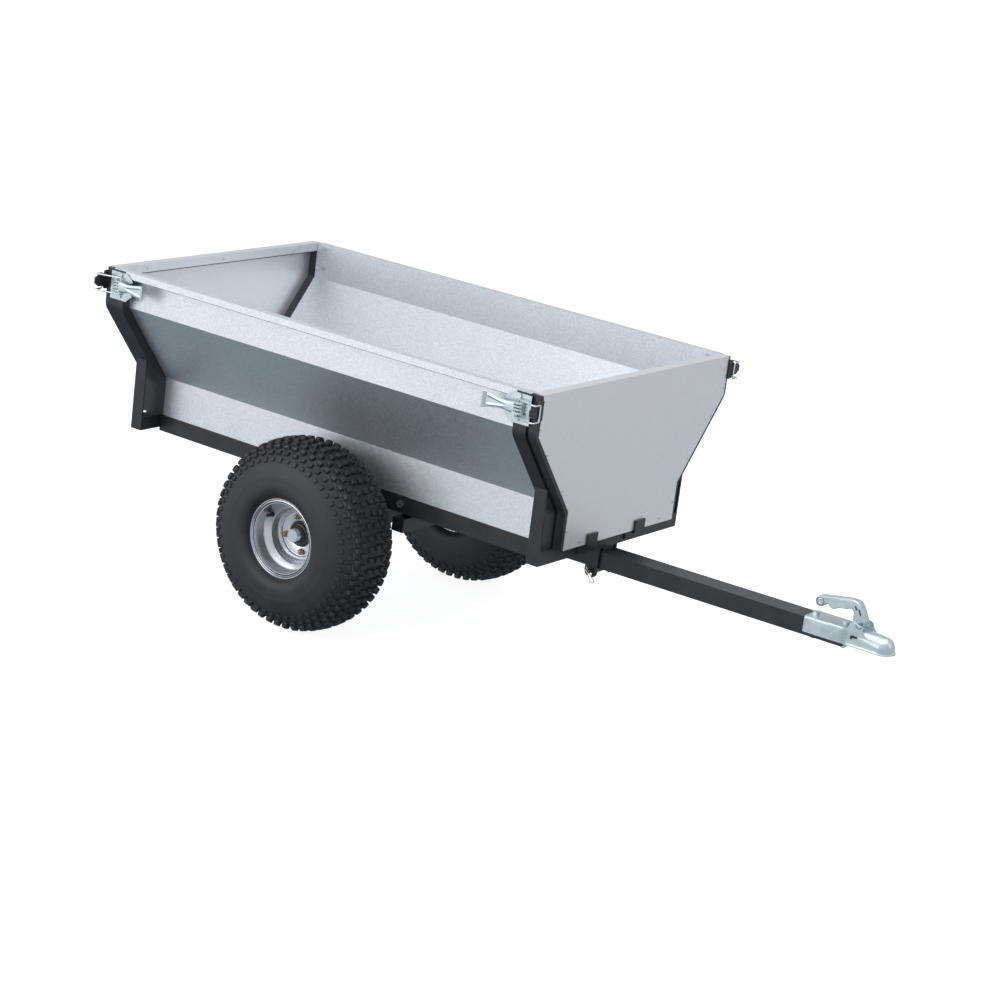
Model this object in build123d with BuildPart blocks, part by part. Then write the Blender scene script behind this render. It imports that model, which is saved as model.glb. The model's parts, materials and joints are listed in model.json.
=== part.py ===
"""Two-wheel tipping trailer with a folded steel tub, drop-in end gates and a ball coupling.

Axes: +X forwards to the coupling, +Y to the trailer's left, +Z up. The origin is on the ground
plane, in the middle of the trailer's length and width. Sizes are in millimetres.
"""
import os
from math import atan2, cos, degrees, radians, sin, tan

from build123d import *

# --- overall layout, X measured from the wheels' axis ---
NOSE = 1682.9                    # front of the coupling
BACK = 790.7                     # back of the rear catches' wire
AXLE_X = -(NOSE - BACK) / 2      # wheels' axis, seen from the middle of the whole length
TUB_X = AXLE_X + 7.0             # middle of the tub

# --- tub section ---
TOP_HALF = 443.5                 # outer face of the upright top strip
LOW_HALF = 257.0                 # outer face of the upright bottom strip
RIM_Z = 890.6
FOLD_HIGH = 780.4
FOLD_LOW = 546.0
DECK_Z = 430.0                   # top of the frame
SHEET = 1.5
HEM = 26.1                       # the rim's folded hem stands this far out
HEM_LIP = 19.6
SLOPE = 38.51                    # lean of the sloping strip, degrees from upright
PANEL_HALF = 756.5
TUBE_T = 22.5                    # thickness of the gates' bent bars
POST_T = 28.0                    # thickness of the bent posts
BEND_OUT, BEND_IN = 45.0, 30.0   # radii of the bars' outer faces at their two bends
GATE_IN = 757.0                  # gate's inner face from the tub's middle
GATE_OUT = 787.0
GATE_BASE = 431.0
TOP_BAR = 28.0                   # a gate's top bar reaches this far below the rim

# --- frame ---
POST_IN, POST_OUT = 711.0, 754.0
CROSS_IN, CROSS_OUT = 719.0, 759.0
RAIL_IN, RAIL_OUT = 219.0, 259.0
RAIL_Z = 380.0
CROSS_Z = 390.0
CROSS_HALF = 335.0
STRUT_T = 6.0
WALL = 2.5

# --- axle and wheels ---
HUB_Z = 279.5
WHEEL_Y = 401.65
TYRE_R = 279.5
BEAM = 50.0
BEAM_HALF = 360.0
SPINDLE_R = 12.5
SPINDLE_END = 432.0
RUNNING = 0.05                   # radial clearance where a shaft turns or slides

# --- drawbar, set at a slight climb towards the coupling ---
BAR_REAR = 244.0
BAR_Z = 347.3
BAR_CLIMB = 0.8
BAR_W, BAR_H, BAR_L = 70.0, 50.0, 1300.0
PIVOT_X, PIVOT_Z = 224.0, 406.0
BOLT_R = 6.0

# --- release pin under the drawbar ---
PIN_X, PIN_R = 746.0, 6.0
LUG_IN, LUG_OUT = 38.0, 44.0
PIN_NEAR, PIN_FAR = -60.0, 50.0

# --- carriage bolts through panels, posts and latch plates ---
BOLT_IN = 724.0
BOLT_HEIGHTS = (878.0, 816.0)

# --- gate latches ---
LATCH_Z = 846.0
HINGE_IN = 738.0                 # lever's hinge from the tub's middle
HINGE_Y = 481.0
BAIL_IN = 718.0                  # bail's pivot on the lever
WIRE_R = 2.5
ARM_Z = 24.0                     # the bail's arms run this far above and below the lever

# --- coupling, along the drawbar from its rear end ---
BALL_R = 25.2
BALL_S, BALL_N = 1404.0, -6.0
GRIP_S, GRIP_N = 1328.0, 43.0    # hinge of the coupling's handle

parts_dir = "parts"
os.makedirs(parts_dir, exist_ok=True)

climb = radians(BAR_CLIMB)
bar_origin = (AXLE_X + BAR_REAR, 0, BAR_Z)
bar_top = Plane(origin=bar_origin, x_dir=(cos(climb), 0, sin(climb)), z_dir=(-sin(climb), 0, cos(climb)))
bar_side = Plane(origin=bar_origin, x_dir=(cos(climb), 0, sin(climb)), z_dir=(0, -1, 0))
bar_end = Plane(origin=bar_origin, x_dir=(0, 1, 0), z_dir=(cos(climb), 0, sin(climb)))
mid_tub = Plane.YZ.offset(TUB_X)
bar_mid_at_pin = BAR_Z + (PIN_X - BAR_REAR) * tan(climb)
PIN_Z = bar_mid_at_pin - BAR_H / 2 - 10.0


def save(builder, name):
    """Label one finished piece and write it as its own STEP."""
    builder.part.label = name
    export_step(builder.part, os.path.join(parts_dir, name + ".step"))


def wall_points(offset, bottom, top):
    """Corner points (y, z) of the side wall's outer line, moved outwards by offset."""
    drop = offset * tan(radians(SLOPE / 2))
    return [
        (TOP_HALF + offset, top),
        (TOP_HALF + offset, FOLD_HIGH - drop),
        (LOW_HALF + offset, FOLD_LOW - drop),
        (LOW_HALF + offset, bottom),
    ]


def slope_z(y, offset):
    """Height of the sloping strip's line, moved outwards by offset, at a given y."""
    high, low = wall_points(offset, 0, 0)[1:3]
    return low[1] + (y - low[0]) * (high[1] - low[1]) / (high[0] - low[0])


def mirrored(points):
    """A closed outline from its right half and the mirror image of that half."""
    return points + [(-y, z) for y, z in reversed(points)]


def across(half_in, half_out):
    """Centres of two boxes that fill half_in..half_out on both sides."""
    return [(half_in + half_out) / 2, -(half_in + half_out) / 2]


# ---------------------------------------------------------------- tub sheets
def side_panel(name, side):
    """One folded side sheet: upright strip, sloping strip, upright strip and a hem over the posts."""
    inner = wall_points(-SHEET, DECK_Z, RIM_Z)
    outer = wall_points(0, DECK_Z, RIM_Z - SHEET)
    hem_y = TOP_HALF + HEM
    hem = [
        (hem_y, RIM_Z),
        (hem_y, RIM_Z - HEM_LIP),
        (hem_y - SHEET, RIM_Z - HEM_LIP),
        (hem_y - SHEET, RIM_Z - SHEET),
    ]
    outline = inner[:1] + hem + outer + inner[:0:-1]
    with BuildPart() as panel:
        with BuildSketch(Plane.YZ.offset(TUB_X - PANEL_HALF)):
            with BuildLine():
                Polyline([(side * y, z) for y, z in outline], close=True)
            make_face()
        extrude(amount=2 * PANEL_HALF)
        for bolt_x in (BOLT_IN, -BOLT_IN):
            for bolt_z in BOLT_HEIGHTS:
                with Locations(Plane(origin=(TUB_X + bolt_x, side * 455, bolt_z), z_dir=(0, 1, 0))):
                    Cylinder(4, 60, mode=Mode.SUBTRACT)
        # The hem's lip stops at the posts.
        notch_l = PANEL_HALF - POST_IN + 1
        notch_h = HEM_LIP - SHEET + 1
        for notch_x in across(POST_IN, PANEL_HALF + 1):
            with Locations((TUB_X + notch_x, side * (TOP_HALF + (HEM + 1) / 2), RIM_Z - SHEET - notch_h / 2)):
                Box(notch_l, HEM + 1, notch_h, mode=Mode.SUBTRACT)
    save(panel, name)


side_panel("left_panel", 1)
side_panel("right_panel", -1)

with BuildPart() as floor_panel:
    with BuildSketch(Plane.XY.offset(DECK_Z)):
        with Locations((TUB_X, 0)):
            Rectangle(2 * PANEL_HALF, 2 * (LOW_HALF - SHEET))
    extrude(amount=2)
save(floor_panel, "floor_panel")

# ---------------------------------------------------------------- tub frame
with BuildPart() as side_rails:
    with BuildSketch(Plane.YZ.offset(TUB_X - CROSS_IN)):
        with Locations(*[(y, (RAIL_Z + DECK_Z) / 2) for y in across(RAIL_IN, RAIL_OUT)]):
            Rectangle(RAIL_OUT - RAIL_IN, DECK_Z - RAIL_Z)
            Rectangle(RAIL_OUT - RAIL_IN - 2 * WALL, DECK_Z - RAIL_Z - 2 * WALL, mode=Mode.SUBTRACT)
    extrude(amount=2 * CROSS_IN)
    for sleeve_y in across(RAIL_IN, RAIL_OUT):
        with Locations(Plane(origin=(AXLE_X + PIVOT_X, sleeve_y, PIVOT_Z), z_dir=(0, 1, 0))):
            Cylinder(9, RAIL_OUT - RAIL_IN)
            Cylinder(BOLT_R + RUNNING, RAIL_OUT - RAIL_IN + 2, mode=Mode.SUBTRACT)
save(side_rails, "side_rails")

with BuildPart() as cross_members:
    for side in (1, -1):
        middle_x = TUB_X + side * (CROSS_IN + CROSS_OUT) / 2
        with BuildSketch(Plane.XZ.offset(-CROSS_HALF)):
            with Locations((middle_x, (CROSS_Z + DECK_Z) / 2)):
                Rectangle(40, DECK_Z - CROSS_Z)
                Rectangle(40 - 2 * WALL, DECK_Z - CROSS_Z - 2 * WALL, mode=Mode.SUBTRACT)
        extrude(amount=2 * CROSS_HALF)
save(cross_members, "cross_members")

with BuildPart() as floor_cross_bars:
    for bar_x in (-480, -160, 160, 480):
        with BuildSketch(Plane.XZ.offset(-RAIL_IN)):
            with Locations((TUB_X + bar_x, DECK_Z - 12.5)):
                Rectangle(25, 25)
                Rectangle(21, 21, mode=Mode.SUBTRACT)
        extrude(amount=2 * RAIL_IN)
save(floor_cross_bars, "floor_cross_bars")

def round_bends(bar, thickness):
    """Round the outer faces of bent bars, and the hollow behind them, at the two bends."""
    along = bar.edges().filter_by(Axis.X)
    high = along.filter_by(lambda e: abs(e.center().Z - FOLD_HIGH) < 30)
    fillet(high.filter_by(lambda e: abs(e.center().Y) > TOP_HALF + thickness / 2), radius=BEND_OUT)
    along = bar.edges().filter_by(Axis.X)
    low = along.filter_by(lambda e: abs(e.center().Z - FOLD_LOW) < 30)
    fillet(low.filter_by(lambda e: abs(e.center().Y) > LOW_HALF + thickness - 1), radius=BEND_IN)


with BuildPart() as posts:
    for side in (1, -1):
        start = TUB_X + (POST_IN if side > 0 else -POST_OUT)
        with BuildSketch(Plane.YZ.offset(start)):
            with BuildLine():
                strip = wall_points(0, DECK_Z, RIM_Z - SHEET)
                strip += reversed(wall_points(POST_T, DECK_Z, RIM_Z - SHEET))
                Polyline(strip, close=True)
            make_face()
        extrude(amount=POST_OUT - POST_IN)
        with BuildSketch(Plane.YZ.offset(start + 2)):
            with BuildLine():
                core = wall_points(2, DECK_Z, RIM_Z - SHEET)
                core += reversed(wall_points(POST_T - 2, DECK_Z, RIM_Z - SHEET))
                Polyline(core, close=True)
            make_face()
        extrude(amount=POST_OUT - POST_IN - 4, mode=Mode.SUBTRACT)
    for bolt_x in (BOLT_IN, -BOLT_IN):
        for bolt_z in BOLT_HEIGHTS:
            with Locations(Plane(origin=(TUB_X + bolt_x, 455, bolt_z), z_dir=(0, 1, 0))):
                Cylinder(4, 60, mode=Mode.SUBTRACT)
    round_bends(posts, POST_T)
    mirror(about=Plane.XZ)
save(posts, "posts")

with BuildPart() as post_struts:
    for side in (1, -1):
        start = TUB_X + (CROSS_IN if side > 0 else -CROSS_OUT)
        with BuildSketch(Plane.YZ.offset(start)):
            with BuildLine():
                Polyline(
                    [
                        (CROSS_HALF, CROSS_Z),
                        (CROSS_HALF + STRUT_T, CROSS_Z),
                        (CROSS_HALF + STRUT_T, slope_z(CROSS_HALF + STRUT_T, POST_T)),
                        (CROSS_HALF, slope_z(CROSS_HALF, POST_T)),
                    ],
                    close=True,
                )
            make_face()
        extrude(amount=CROSS_OUT - CROSS_IN)
    mirror(about=Plane.XZ)
save(post_struts, "post_struts")

# Z-shaped keepers on the cross members hold the gates' lower edges.
KEEPER_Y = (-138.0, 96.0)
KEEPER_W = 48.0
with BuildPart() as gate_keepers:
    keeper = [
        (CROSS_OUT, 398),
        (CROSS_OUT + 5, 398),
        (CROSS_OUT + 5, 423),
        (GATE_OUT + 6, 423),
        (GATE_OUT + 6, 460),
        (GATE_OUT + 1, 460),
        (GATE_OUT + 1, 428),
        (CROSS_OUT, 428),
    ]
    for keeper_y in KEEPER_Y:
        with BuildSketch(Plane.XZ.offset(-keeper_y - KEEPER_W / 2)):
            with BuildLine():
                Polyline([(TUB_X + x, z) for x, z in keeper], close=True)
            make_face()
        extrude(amount=KEEPER_W)
    mirror(about=mid_tub)
save(gate_keepers, "gate_keepers")

# ---------------------------------------------------------------- axle
with BuildPart() as axle_beam:
    with BuildSketch(Plane.XZ.offset(-BEAM_HALF)):
        with Locations((AXLE_X, HUB_Z)):
            Rectangle(BEAM, BEAM)
            Rectangle(BEAM - 8, BEAM - 8, mode=Mode.SUBTRACT)
    extrude(amount=2 * BEAM_HALF)
save(axle_beam, "axle_beam")

with BuildPart() as axle_brackets:
    for plate_y in (RAIL_IN, RAIL_OUT - 5):
        with BuildSketch(Plane.XZ.offset(-plate_y - 5)):
            with BuildLine():
                beam_top = HUB_Z + BEAM / 2
                Polyline(
                    [(AXLE_X - 30, beam_top), (AXLE_X + 30, beam_top), (AXLE_X + 60, RAIL_Z), (AXLE_X - 60, RAIL_Z)],
                    close=True,
                )
            make_face()
        extrude(amount=5)
    mirror(about=Plane.XZ)
save(axle_brackets, "axle_brackets")


def wheel_axis(y, side):
    """Plane across the wheels' axis at distance y from the middle, facing outwards."""
    return Plane(origin=(AXLE_X, side * y, HUB_Z), x_dir=(1, 0, 0), z_dir=(0, side, 0))


with BuildPart() as spindles:
    with BuildSketch(wheel_axis(BEAM_HALF - 50, 1)):
        Rectangle(BEAM - 8, BEAM - 8)
    extrude(amount=50)
    with BuildSketch(wheel_axis(BEAM_HALF, 1)):
        Circle(18)
    extrude(amount=15)
    with BuildSketch(wheel_axis(BEAM_HALF + 15, 1)):
        Circle(SPINDLE_R)
    extrude(amount=SPINDLE_END - BEAM_HALF - 15)
    mirror(about=Plane.XZ)
save(spindles, "spindles")

with BuildPart() as spindle_nuts:
    with BuildSketch(wheel_axis(418, 1)):
        RegularPolygon(16, 6)
        Circle(SPINDLE_R, mode=Mode.SUBTRACT)
    extrude(amount=10)
    mirror(about=Plane.XZ)
save(spindle_nuts, "spindle_nuts")

# ---------------------------------------------------------------- wheels
# Half sections, (w, r): w along the axle from the wheel's middle, r from the axis.
FLANGE_W, FLANGE_R, RIM_T = 96.85, 115.5, 3.0
rim_outside = [(93.85, 115.5), (93.85, 101.6), (53, 100.5), (43, 83)]
rim_inside = [(44.5, 80), (54, 97.5), (FLANGE_W, 98.6)]
tyre_outside = [
    (34, 277.5), (60, 271.5), (82, 259.5), (99, 240.5), (111, 212.5),
    (118, 174.5), (119, 147.5), (112, 124), (99, 116.5), (93.85, 116.5),
]
tyre_inside = [
    (93.85, 101.7), (79, 101.7), (84, 118), (106, 142), (109, 172),
    (102, 207), (91, 231), (75, 248), (52, 259), (28, 266),
]
STUD_CIRCLE, STUD_TURN = 50.8, 15.0
DISC_W = 8.35                    # back of the dished disc, where the hub's flange bears
VALVE_TURN, VALVE_R, VALVE_W = 150.0, 88.0, 51.3

# Half section of a hub, w measured from the back of the disc.
hub_section = [
    (-34.35, 12.6 + RUNNING), (-34.35, 34), (-8, 34), (-8, 62), (0, 62), (0, 36.5), (7, 36.5), (7, 26),
    (-7.35, 26), (-7.35, 22), (-20.35, 22), (-20.35, 26), (-32.35, 26), (-32.35, 12.65),
]


def revolved(outline, side):
    """Turn a closed (w, r) outline about the wheels' axis into the current part."""
    section = Plane(origin=(AXLE_X, side * WHEEL_Y, HUB_Z), x_dir=(0, side, 0), z_dir=(side, 0, 0))
    with BuildSketch(section) as half_section:
        with BuildLine():
            Polyline(outline, close=True)
        make_face()
    revolve(half_section.sketch, axis=Axis((AXLE_X, side * WHEEL_Y, HUB_Z), (0, 1, 0)))


def wheel(prefix, side):
    """One wheel: tyre, dished steel rim, hub on two bearings, cap, nuts and valve."""
    with BuildPart() as tyre:
        outside = [(-w, r) for w, r in reversed(tyre_outside)] + [(0, TYRE_R)] + tyre_outside
        inside = tyre_inside + [(-w, r) for w, r in reversed(tyre_inside)]
        revolved(outside + inside, side)
    save(tyre, prefix + "_tyre")

    with BuildPart() as rim:
        barrel = [(FLANGE_W, FLANGE_R)] + rim_outside
        barrel += [(-w, r) for w, r in reversed([(FLANGE_W, FLANGE_R)] + rim_outside)]
        barrel += [(-w, r) for w, r in reversed(rim_inside)] + rim_inside
        revolved(barrel, side)
        disc = [(0, 37), (5, 37), (5, 68), (12, 80.5), (0, 80.5)]
        revolved([(DISC_W + w, r) for w, r in disc], side)
        with Locations(wheel_axis(WHEEL_Y + DISC_W, side)):
            with PolarLocations(STUD_CIRCLE, 4, start_angle=STUD_TURN):
                Cylinder(6, 14, mode=Mode.SUBTRACT)
    save(rim, prefix + "_rim")

    with BuildPart() as hub:
        revolved([(DISC_W + w, r) for w, r in hub_section], side)
        with Locations(wheel_axis(WHEEL_Y + DISC_W - 4, side)):
            with PolarLocations(STUD_CIRCLE, 4, start_angle=STUD_TURN):
                Cylinder(6, 12, mode=Mode.SUBTRACT)
    save(hub, prefix + "_hub")

    with BuildPart() as bearings:
        for start in (DISC_W - 32.35, DISC_W - 6.35):
            revolved([(start, SPINDLE_R + RUNNING), (start + 12, SPINDLE_R + RUNNING), (start + 12, 26), (start, 26)],
                     side)
    save(bearings, prefix + "_bearings")

    with BuildPart() as cap:
        revolved([(DISC_W + 7, 28), (DISC_W + 7, 17), (45, 17), (45, 0), (47.85, 0), (47.85, 17.3), (46.2, 18.8),
                  (DISC_W + 10, 18.8), (DISC_W + 10, 28)], side)
    save(cap, prefix + "_hub_cap")

    with BuildPart() as nuts:
        with BuildSketch(wheel_axis(WHEEL_Y + DISC_W + 5, side)):
            with PolarLocations(STUD_CIRCLE, 4, start_angle=STUD_TURN):
                RegularPolygon(11, 6)
        extrude(amount=11)
        with BuildSketch(wheel_axis(WHEEL_Y + DISC_W - 12.35, side)):
            with PolarLocations(STUD_CIRCLE, 4, start_angle=STUD_TURN):
                Circle(6)
        extrude(amount=31)
    save(nuts, prefix + "_wheel_bolts")

    with BuildPart() as valve:
        turn = VALVE_TURN if side < 0 else 180 - VALVE_TURN
        valve_x = VALVE_R * cos(radians(turn))
        valve_z = VALVE_R * sin(radians(turn))
        stem = Plane(
            origin=(AXLE_X + valve_x, side * (WHEEL_Y + VALVE_W), HUB_Z + valve_z),
            x_dir=(1, 0, 0),
            z_dir=(0, side, 0),
        )
        with BuildSketch(stem):
            Circle(4)
        extrude(amount=24)
    save(valve, prefix + "_valve")


wheel("right", -1)
wheel("left", 1)

# ---------------------------------------------------------------- gates
def gate_face(offset, bottom, top):
    """Closed outline of a gate, its sides following the tub's wall line."""
    return mirrored(wall_points(offset, bottom, top))


def gate(prefix, end):
    """One end gate: a bent channel frame, a riveted sheet folded over it and two catches."""
    inner_plane = Plane.YZ.offset(TUB_X + GATE_IN)

    def prism(outline, start, depth, mode=Mode.ADD):
        with BuildSketch(inner_plane.offset(start)) as outline_face:
            with BuildLine():
                Polyline(outline, close=True)
            make_face()
        extrude(outline_face.sketch, amount=depth, mode=mode)

    depth = GATE_OUT - GATE_IN
    bar_depth = depth - 2 * SHEET
    opening = gate_face(0, GATE_BASE + 25, RIM_Z - TOP_BAR)
    with BuildPart() as frame:
        prism(gate_face(TUBE_T, GATE_BASE + 1, RIM_Z - 2), SHEET, bar_depth)
        prism(opening, SHEET, bar_depth, Mode.SUBTRACT)
        prism(gate_face(TUBE_T - 2, GATE_BASE + 3, RIM_Z - 4), SHEET + 2, bar_depth - 4, Mode.SUBTRACT)
        prism(gate_face(2, GATE_BASE + 23, RIM_Z - TOP_BAR + 2), SHEET + 2, bar_depth - 4)
        prism(opening, SHEET, bar_depth, Mode.SUBTRACT)
        round_bends(frame, TUBE_T)
        if end < 0:
            mirror(about=mid_tub, mode=Mode.REPLACE)
    save(frame, prefix + "_gate_frame")

    with BuildPart() as sheet:
        prism(gate_face(12, GATE_BASE, RIM_Z), depth - SHEET, SHEET)
        half = TOP_HALF + 12
        prism([(half, RIM_Z - SHEET), (half, RIM_Z), (-half, RIM_Z), (-half, RIM_Z - SHEET)], 0, depth)
        half = TOP_HALF - 2
        prism([(half, RIM_Z - 25), (half, RIM_Z), (-half, RIM_Z), (-half, RIM_Z - 25)], 0, SHEET)
        if end < 0:
            mirror(about=mid_tub, mode=Mode.REPLACE)
    save(sheet, prefix + "_gate_sheet")

    with BuildPart() as catches:
        catch = [(457, 878), (475, 878), (477, 866), (498, 862), (498, 837), (477, 832), (475, 823), (457, 823)]
        prism(catch, depth - SHEET, 5 + SHEET)
        prism([(-y, z) for y, z in catch], depth - SHEET, 5 + SHEET)
        if end < 0:
            mirror(about=mid_tub, mode=Mode.REPLACE)
    save(catches, prefix + "_gate_catches")

    with BuildPart() as rivets:
        spots = [(452, 797), (404, 720), (310, 606), (262, 484), (200, 445)]
        rivet_x = TUB_X + GATE_OUT
        for y, z in spots + [(-y, z) for y, z in spots] + [(0, 445)]:
            with Locations(Plane(origin=(rivet_x, y, z), z_dir=(1, 0, 0))):
                Cylinder(3.5, 1.5, align=(Align.CENTER, Align.CENTER, Align.MIN))
        if end < 0:
            mirror(about=mid_tub, mode=Mode.REPLACE)
    save(rivets, prefix + "_gate_rivets")


gate("front", 1)
gate("rear", -1)

# ---------------------------------------------------------------- latches
BASE_Y = TOP_HALF + POST_T       # the base plates lie against the posts
BASE_T = 2.0
BASE_MID = 843.5                 # height of the base plates' middle


def corner_mirrors(end, side):
    """Move a piece made for the front right corner to the corner it belongs to."""
    if side > 0:
        mirror(about=Plane.XZ, mode=Mode.REPLACE)
    if end < 0:
        mirror(about=mid_tub, mode=Mode.REPLACE)


def upright(x, y, z):
    """Plane facing up at a point given from the tub's middle on the right-hand side."""
    return Plane(origin=(TUB_X + x, -y, z))


with BuildPart() as latch_bases:
    with BuildSketch(Plane.XZ.offset(BASE_Y)):
        wing = [(762, 41), (700, 41), (676, 21), (697, 7)]
        with BuildLine():
            outline = wing + [(x, -z) for x, z in reversed(wing)]
            Polyline([(TUB_X + x, BASE_MID + z) for x, z in outline], close=True)
        make_face()
    extrude(amount=BASE_T)
    for lug_z in (LATCH_Z - 17, LATCH_Z + 14.5):
        with BuildSketch(upright(HINGE_IN, BASE_Y + BASE_T, lug_z)):
            with Locations((0, -4)):
                Rectangle(14, 8)
            with Locations((0, -(HINGE_Y - BASE_Y - BASE_T))):
                Circle(5.5)
        extrude(amount=2.5)
    with Locations(upright(HINGE_IN, HINGE_Y, LATCH_Z)):
        Cylinder(2, 60, mode=Mode.SUBTRACT)
    for bolt_z in BOLT_HEIGHTS:
        with Locations(Plane(origin=(TUB_X + BOLT_IN, -470, bolt_z), z_dir=(0, 1, 0))):
            Cylinder(4, 20, mode=Mode.SUBTRACT)
    mirror(about=Plane.XZ)
    mirror(about=mid_tub)
save(latch_bases, "latch_bases")

with BuildPart() as latch_pins:
    with BuildSketch(upright(HINGE_IN, HINGE_Y, LATCH_Z - 18.5)):
        Circle(2)
    extrude(amount=37)
    mirror(about=Plane.XZ)
    mirror(about=mid_tub)
save(latch_pins, "latch_pins")

with BuildPart() as carriage_bolts:
    for bolt_z in BOLT_HEIGHTS:
        shank = Plane(origin=(TUB_X + BOLT_IN, -(TOP_HALF - SHEET), bolt_z), x_dir=(1, 0, 0), z_dir=(0, -1, 0))
        with BuildSketch(shank):
            Circle(4)
        extrude(amount=34)
        with BuildSketch(shank.offset(-3)):
            Circle(8)
        extrude(amount=3)
        with BuildSketch(shank.offset(BASE_Y + BASE_T - TOP_HALF + SHEET)):
            RegularPolygon(7.2, 6)
        extrude(amount=4)
    mirror(about=Plane.XZ)
    mirror(about=mid_tub)
save(carriage_bolts, "carriage_bolts")

LEVER_Y = 487.0                  # inner face of the lever's plate
LEVER_END = 121.0


def latch(prefix, end, side):
    """A toggle lever with a flared end, and the wire bail that it pulls over the gate's catch."""
    with BuildPart() as lever:
        half_outline = [(6, 13), (-22, 14), (-50, 12), (-88, 15), (-LEVER_END, 22)]
        with BuildSketch(Plane.XZ.offset(LEVER_Y)):
            with BuildLine():
                outline = mirrored([(z, x) for x, z in half_outline])
                Polyline([(TUB_X + HINGE_IN + x, LATCH_Z + z) for z, x in outline], close=True)
            make_face()
        extrude(amount=2)
        with BuildSketch(Plane.XZ.offset(LEVER_Y)):
            with Locations((TUB_X + HINGE_IN - LEVER_END + 1, LATCH_Z)):
                Rectangle(2, 44)
        extrude(amount=9)
        for flange_z in (LATCH_Z - 13.5, LATCH_Z + 11.5):
            with BuildSketch(upright(HINGE_IN, HINGE_Y, flange_z)):
                with Locations((-10, 0)):
                    SlotOverall(32, 12)
                with Locations((-10, -4)):
                    Rectangle(30, 8)
            extrude(amount=2)
        with Locations(upright(HINGE_IN, HINGE_Y, LATCH_Z)):
            Cylinder(2 + RUNNING, 60, mode=Mode.SUBTRACT)
        with Locations(upright(BAIL_IN, HINGE_Y, LATCH_Z)):
            Cylinder(WIRE_R + RUNNING, 40, mode=Mode.SUBTRACT)
        corner_mirrors(end, side)
    save(lever, prefix + "_latch_lever")

    with BuildPart() as bail:
        front = GATE_OUT + 5 + WIRE_R + 0.7
        half = [
            (BAIL_IN, HINGE_Y, 9),
            (BAIL_IN, HINGE_Y, ARM_Z),
            (GATE_OUT - 4, 503, ARM_Z),
            (front, 503, ARM_Z - 1),
            (front, 478, ARM_Z - 1),
        ]
        route = half + [(x, y, -z) for x, y, z in reversed(half)]
        with BuildLine() as wire:
            FilletPolyline([(TUB_X + x, -y, LATCH_Z + z) for x, y, z in route], radius=4)
        with BuildSketch(Plane(origin=wire.line @ 0, z_dir=wire.line % 0)):
            Circle(WIRE_R)
        sweep(path=wire.line)
        corner_mirrors(end, side)
    save(bail, prefix + "_latch_bail")


for end_name, end in (("front", 1), ("rear", -1)):
    for side_name, side in (("right", -1), ("left", 1)):
        latch(end_name + "_" + side_name, end, side)

# ---------------------------------------------------------------- drawbar
with BuildPart() as drawbar:
    with BuildSketch(bar_end):
        Rectangle(BAR_W, BAR_H)
        Rectangle(BAR_W - 6, BAR_H - 6, mode=Mode.SUBTRACT)
    extrude(amount=BAR_L)
    with Locations(Plane(origin=(AXLE_X + BAR_REAR - 10, 0, BAR_Z))):
        Box(20, BAR_W + 10, BAR_H + 20, mode=Mode.SUBTRACT)
    with Locations(*[bar_top * Location((s, 0, 0)) for s in (1196, 1288)]):
        Cylinder(BOLT_R, BAR_H + 10, mode=Mode.SUBTRACT)
save(drawbar, "drawbar")

TUBE_TOP, TUBE_BOTTOM = 364.0, 324.0
EAR_R = 20.0
with BuildPart() as cross_tube:
    with BuildSketch(Plane.XZ.offset(-RAIL_OUT)):
        with Locations((AXLE_X + PIVOT_X, (TUBE_TOP + TUBE_BOTTOM) / 2)):
            Rectangle(40, 40)
            Rectangle(35, 35, mode=Mode.SUBTRACT)
    extrude(amount=2 * RAIL_OUT)
    for ear_y in (RAIL_IN - 7, -RAIL_IN + 1):
        with BuildSketch(Plane.XZ.offset(-ear_y - 6)):
            with Locations((AXLE_X + PIVOT_X, PIVOT_Z)):
                Circle(EAR_R)
            with Locations((AXLE_X + PIVOT_X, (TUBE_TOP + PIVOT_Z) / 2)):
                Rectangle(2 * EAR_R, PIVOT_Z - TUBE_TOP)
            with Locations((AXLE_X + PIVOT_X, PIVOT_Z)):
                Circle(BOLT_R, mode=Mode.SUBTRACT)
        extrude(amount=6)
save(cross_tube, "cross_tube")

with BuildPart() as cross_tube_caps:
    with BuildSketch(Plane.XZ.offset(-RAIL_OUT)):
        with Locations((AXLE_X + PIVOT_X, (TUBE_TOP + TUBE_BOTTOM) / 2)):
            Rectangle(40, 40)
    extrude(amount=-3)
    with BuildSketch(Plane.XZ.offset(-RAIL_OUT)):
        with Locations((AXLE_X + PIVOT_X, (TUBE_TOP + TUBE_BOTTOM) / 2)):
            Rectangle(35, 35)
    extrude(amount=12)
    mirror(about=Plane.XZ)
save(cross_tube_caps, "cross_tube_caps")

with BuildPart() as pivot_bolts:
    outer = Plane(origin=(AXLE_X + PIVOT_X, RAIL_OUT + 0.5, PIVOT_Z), x_dir=(1, 0, 0), z_dir=(0, 1, 0))
    with BuildSketch(outer):
        RegularPolygon(10.5, 6)
    extrude(amount=7.5)
    with BuildSketch(outer.offset(-66)):
        Circle(BOLT_R)
    extrude(amount=66)
    with BuildSketch(outer.offset(-57.5)):
        RegularPolygon(10.5, 6)
    extrude(amount=10)
    mirror(about=Plane.XZ)
save(pivot_bolts, "pivot_bolts")

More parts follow.
